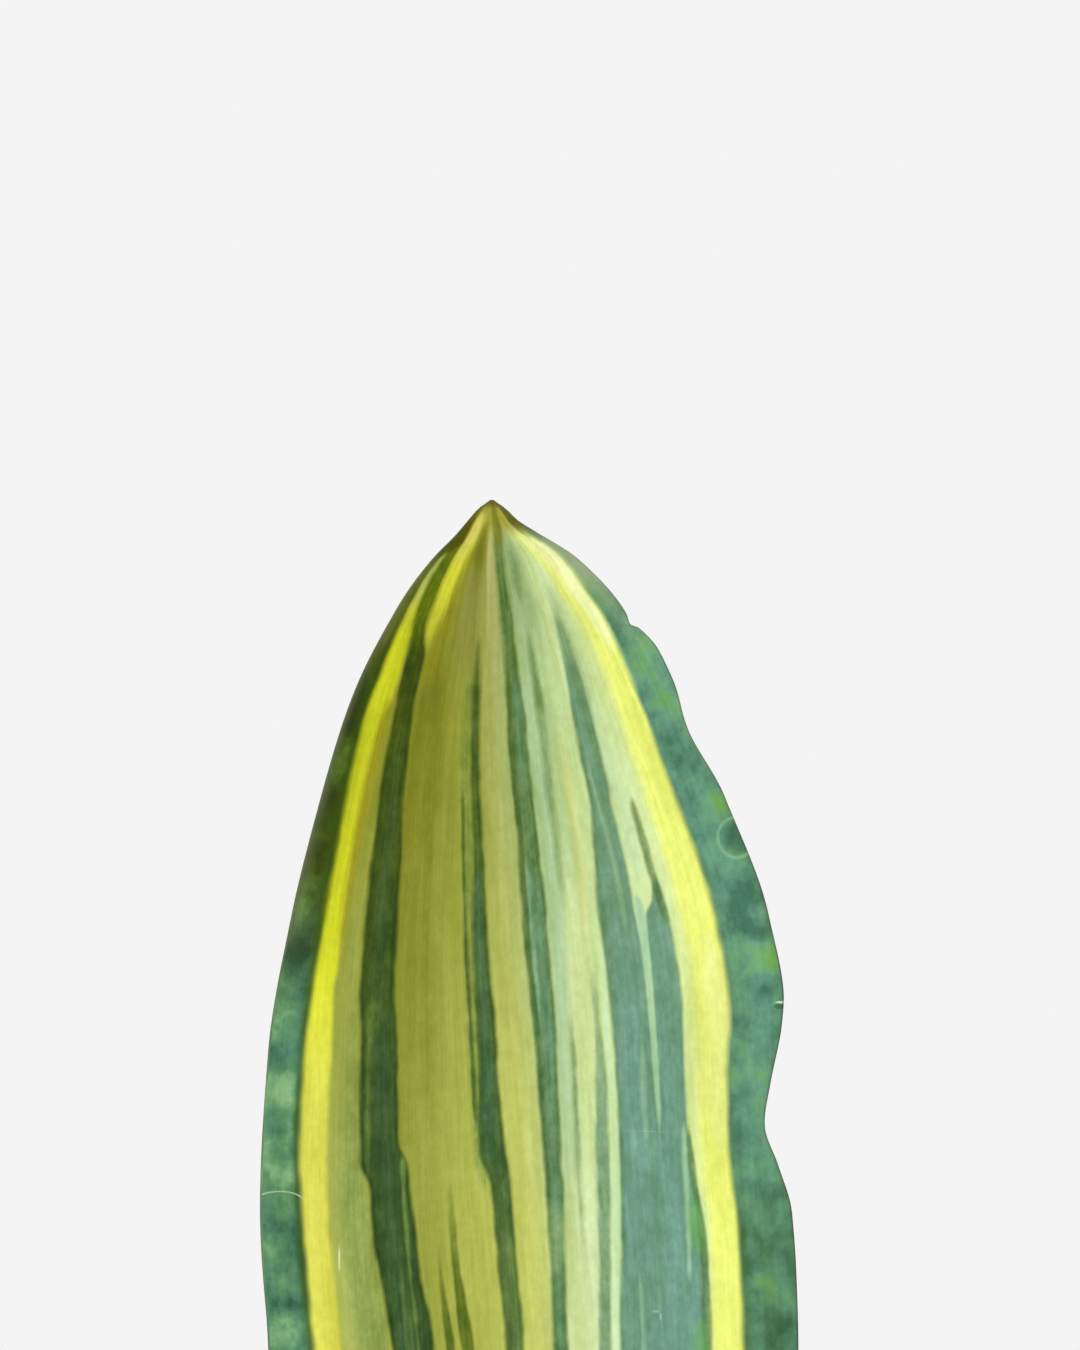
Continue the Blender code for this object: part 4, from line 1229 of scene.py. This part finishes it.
def build_soil(surface):
    """One closed body: the bottom, the wall, the rough top, and the well that holds the leaf's base."""
    floor_corner, wall_top, _ = inner_corners()
    turns = np.pi + np.arange(SOIL_SIDES) / SOIL_SIDES * math.tau
    around = np.stack([np.cos(turns), np.sin(turns), np.zeros(SOIL_SIDES)], axis=-1)
    up = np.array([0, 0, 1.0])
    hole = leaf_section(BASE_MM, turns, grow=CLEARANCE)
    edge = around * soil_edge_radius()
    rings = []
    for step in range(SOIL_RINGS + 1):
        share = step / SOIL_RINGS
        ring = hole * (1 - share) + edge * share
        ring[:, 2] = [soil_height(x, y) for x, y, _ in ring]
        rings.append(ring)
    wall_foot = (wall_top[0] - 2 * CLEARANCE, wall_top[1])
    corner = filleted([
        (0, FLOOR + CLEARANCE, 0, 0),
        (floor_corner[0] - CLEARANCE, FLOOR + CLEARANCE, 7 * MM, 4),
        (*wall_foot, 0, 0),
    ])
    rings += [around * radius + up * height for radius, height in corner[:0:-1]]
    well = base_sections(hole, BASE_DEPTH + CLEARANCE)
    return lofted("potting_soil_bed", np.array(well[::-1] + rings), surface)


def crumb_shapes(count, draw):
    """A few knobbly lumps to copy, as points on about a unit ball, and their shared faces."""
    bm = bmesh.new()
    bmesh.ops.create_icosphere(bm, subdivisions=2, radius=1.0)
    ball = [v.co.copy() for v in bm.verts]
    faces = np.array([[v.index for v in f.verts] for f in bm.faces])
    bm.free()
    shapes = []
    for _ in range(count):
        shift = Vector([draw.uniform(0, 50) for _ in range(3)])
        swell = [0.45 * noise.noise(p * 1.3 + shift) + 0.15 * noise.noise(p * 3 + shift) for p in ball]
        shapes.append(np.array([p * (1 + share) for p, share in zip(ball, swell)]))
    return shapes, faces


def chip_shapes(count, draw):
    """A few torn slabs of bark to copy: a ragged outline with a smaller, uneven top and bottom."""
    corners = 9
    shapes = []
    for _ in range(count):
        reach = [draw.uniform(0.72, 1.15) for _ in range(corners)]
        turns = [(k + draw.uniform(-0.3, 0.3)) / corners * math.tau for k in range(corners)]
        shape = []
        for level, share in ((-0.8, 0.86), (-0.2, 1.0), (0.5, 0.97), (1.0, 0.78)):
            for r, turn in zip(reach, turns):
                rough = draw.uniform(0.94, 1.06)
                shape.append((r * share * rough * math.cos(turn), r * share * rough * math.sin(turn), level))
        shape += [(0.0, 0.0, -0.7), (0.0, 0.0, 1.0 + draw.uniform(-0.1, 0.25))]
        shapes.append(np.array(shape))
    faces = []
    for level in range(3):
        for k in range(corners):
            a, b = level * corners + k, level * corners + (k + 1) % corners
            faces += [(a, b, b + corners), (a, b + corners, a + corners)]
    low, top = 4 * corners, 4 * corners + 1
    for k in range(corners):
        after = (k + 1) % corners
        faces += [(low, after, k), (top, 3 * corners + k, 3 * corners + after)]
    return shapes, np.array(faces)


def scatter(name, surface, draw, lumps, count, size_mm, flatness, sink, smooth=True):
    """Strews lumps over the soil, clear of the pot's wall and of the leaf, as one piece."""
    shapes, faces = lumps
    edge = soil_edge_radius()
    points, sides = [], []
    placed = 0
    while placed < count:
        distance = edge * math.sqrt(draw.uniform(0.0, 1.0))
        turn = draw.uniform(0, math.tau)
        x, y = distance * math.cos(turn), distance * math.sin(turn)
        size = draw.triangular(size_mm[0], size_mm[1], size_mm[0]) * MM / 2
        if distance + size * 1.5 > edge or too_near_leaf(x, y, size * 1.5 + 1.0 * MM):
            continue
        stretch = np.array([draw.uniform(0.8, 1.5), draw.uniform(0.7, 1.1), draw.uniform(*flatness)])
        tilt = Euler((draw.uniform(-0.35, 0.35), draw.uniform(-0.35, 0.35), draw.uniform(0, math.tau)))
        lump = (draw.choice(shapes) * stretch * size) @ np.array(tilt.to_matrix()).T
        low = lump[:, 2].min()
        lift = soil_height(x, y) - low - sink * size * 2 * stretch[2]
        points.append(lump + (x, y, lift))
        sides.append(faces + placed * len(lump))
        placed += 1
    return mesh_object(name, np.concatenate(points).tolist(), np.concatenate(sides).tolist(), surface, smooth)


def too_near_leaf(x, y, margin):
    """True inside the oval that the leaf's base fills, grown by margin."""
    half_width = -LEFT_AT(BASE_MM) * MM + margin
    half_depth = THICKNESS_AT(BASE_MM) / 2 * MM + margin
    return (x / half_width) ** 2 + (y / half_depth) ** 2 < 1


def earth_material(name, speckle, dark, light, fleck, roughness=0.95):
    """Peat, bark or clod: two tones in clouds, flecks, and a rough skin."""
    made, tree, shader = new_material(name, roughness, dark)
    place = solid_place(tree)
    colour = ramp(tree, cloud(tree, place, 170.0, 4.0, 0.65), [(0.34, dark), (0.66, light)])
    colour, _ = flecked(tree, speckle, colour, size=0.0012, share=0.2, strength=0.5, tone=fleck)
    tree.links.new(colour, shader.inputs["Base Color"])
    bump(tree, shader, cloud(tree, place, 700.0, 4.0, 0.7), 0.9, 0.0012)
    return made


def perlite_material(speckle):
    """White expanded grains with a chalky pitted skin, a little stained by the soil."""
    made, tree, shader = new_material("perlite", 0.9, rgb(226, 222, 212))
    stain = cloud(tree, solid_place(tree), 240.0, 3.0, 0.6)
    colour = ramp(tree, stain, [(0.35, rgb(188, 178, 160)), (0.6, rgb(232, 229, 220))])
    stained = rgb(150, 138, 120)
    colour, pits = flecked(tree, speckle, colour, size=0.0006, share=0.25, strength=0.35, tone=stained)
    tree.links.new(colour, shader.inputs["Base Color"])
    bump(tree, shader, maths(tree, "SUBTRACT", stain, times(tree, pits, 0.5)), 0.6, 0.0008)
    return made


def build_soil_pieces(speckle):
    """The soil bed and what lies loose on it."""
    draw = random.Random(11)
    lumps = crumb_shapes(7, draw)
    peat = earth_material("peat", speckle, rgb(38, 27, 20), rgb(74, 54, 40), rgb(104, 80, 58))
    clods = earth_material("clods", speckle, rgb(48, 34, 24), rgb(88, 64, 46), rgb(112, 88, 64))
    bark = earth_material("bark", speckle, rgb(70, 44, 28), rgb(128, 88, 56), rgb(58, 36, 24), 0.8)
    perlite = perlite_material(speckle)
    return [
        build_soil(peat),
        scatter("soil_crumbs", clods, draw, lumps, count=850, size_mm=(1.4, 5.0), flatness=(0.6, 1.0),
                sink=0.35),
        scatter("bark_chips", bark, draw, chip_shapes(6, draw), count=60, size_mm=(4.0, 10.0),
                flatness=(0.14, 0.26), sink=0.35, smooth=False),
        scatter("perlite_grains", perlite, draw, lumps, count=70, size_mm=(1.6, 4.2), flatness=(0.7, 1.0),
                sink=0.3),
    ]


# Stage, light and camera


def build_stage():
    """A pale round floor, a pale surround, a soft key light from the left and weak fills."""
    bm = bmesh.new()
    bmesh.ops.create_circle(bm, cap_ends=True, segments=96, radius=STAGE_RADIUS)
    mesh = bpy.data.meshes.new("studio_floor")
    bm.to_mesh(mesh)
    bm.free()
    made, tree, shader = new_material("studio_paper", 0.9, rgb(238, 237, 235))
    tone = cloud(tree, solid_place(tree), 3.0, 2.0)
    paper = ramp(tree, tone, [(0.3, rgb(236, 235, 233)), (0.7, rgb(240, 239, 238))])
    tree.links.new(paper, shader.inputs["Base Color"])
    mesh.materials.append(made)
    floor = linked("studio_floor", mesh)
    floor.location.z = -STAGE_DROP

    world = bpy.data.worlds.new("studio")
    world.use_nodes = True
    bpy.context.scene.world = world
    seen = put(world.node_tree, "LightPath", {}, {}).outputs["Is Camera Ray"]
    background = world.node_tree.nodes["Background"]
    background.inputs["Color"].default_value = (1.0, 1.0, 1.0, 1.0)
    brightness = mixed(world.node_tree, seen, SURROUND_LIGHT, SURROUND_SEEN)
    world.node_tree.links.new(brightness, background.inputs["Strength"])

    sun = bpy.data.lights.new("soft_key", "SUN")
    sun.angle = math.radians(40)
    sun.energy = 2.1
    key = linked("soft_key", sun)
    key.rotation_euler = towards(azimuth=-25, elevation=50).to_track_quat("Z", "Y").to_euler()
    aim = Vector((0, 0, 0.42))
    add_light("sheen_light", aim, azimuth=-55, elevation=20, distance=1.6, size=(1.1, 1.4), power=4)
    add_light("back_light", aim, azimuth=165, elevation=40, distance=1.8, size=(1.2, 1.2), power=8)


def towards(azimuth, elevation):
    """A direction. Azimuth 0 is in front of the leaf's hollow face and 90 at its right."""
    turn, rise = math.radians(azimuth), math.radians(elevation)
    return Vector((math.sin(turn) * math.cos(rise), -math.cos(turn) * math.cos(rise), math.sin(rise)))


def add_light(name, aim, azimuth, elevation, distance, size, power):
    """A rectangular soft light at a distance from aim."""
    data = bpy.data.lights.new(name, "AREA")
    data.shape = "RECTANGLE"
    data.size, data.size_y = size
    data.energy = power
    light = linked(name, data)
    light.visible_camera = False
    away = towards(azimuth, elevation)
    light.location = aim + away * distance
    light.rotation_euler = away.to_track_quat("Z", "Y").to_euler()


def build_camera():
    """Level, straight in front of the hollow face, framed as in the photograph."""
    camera = linked("camera", bpy.data.cameras.new("camera"))
    pixel = MM_PER_PX * MM
    camera.data.sensor_width = 36
    camera.data.lens = camera.data.sensor_width * CAMERA_DISTANCE / (FRAME_HEIGHT_PX * pixel)
    x = (FRAME_WIDTH_PX / 2 - AXIS_PX_X) * pixel
    z = TIP_HEIGHT - (FRAME_HEIGHT_PX / 2 - TIP_PX_Y) * pixel - CAMERA_DROP
    camera.location = (x, LEAF_PLANE_Y - CAMERA_DISTANCE, z)
    camera.rotation_euler = (math.pi / 2, 0, 0)
    bpy.context.scene.camera = camera


def dress(piece, node):
    """Hands a piece over to the frame: it is attached to the root body and stands for a node, whose solid is
    hidden.
    """
    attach(piece, "root")
    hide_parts(node)


speckle = speckle_group()
dress(build_leaf(leaf_material()), "leaf")
dress(build_pot(terracotta_material(speckle)), "pot")
for piece in build_soil_pieces(speckle):
    dress(piece, "soil")
build_stage()
build_camera()
bpy.context.scene.view_settings.view_transform = "Standard"
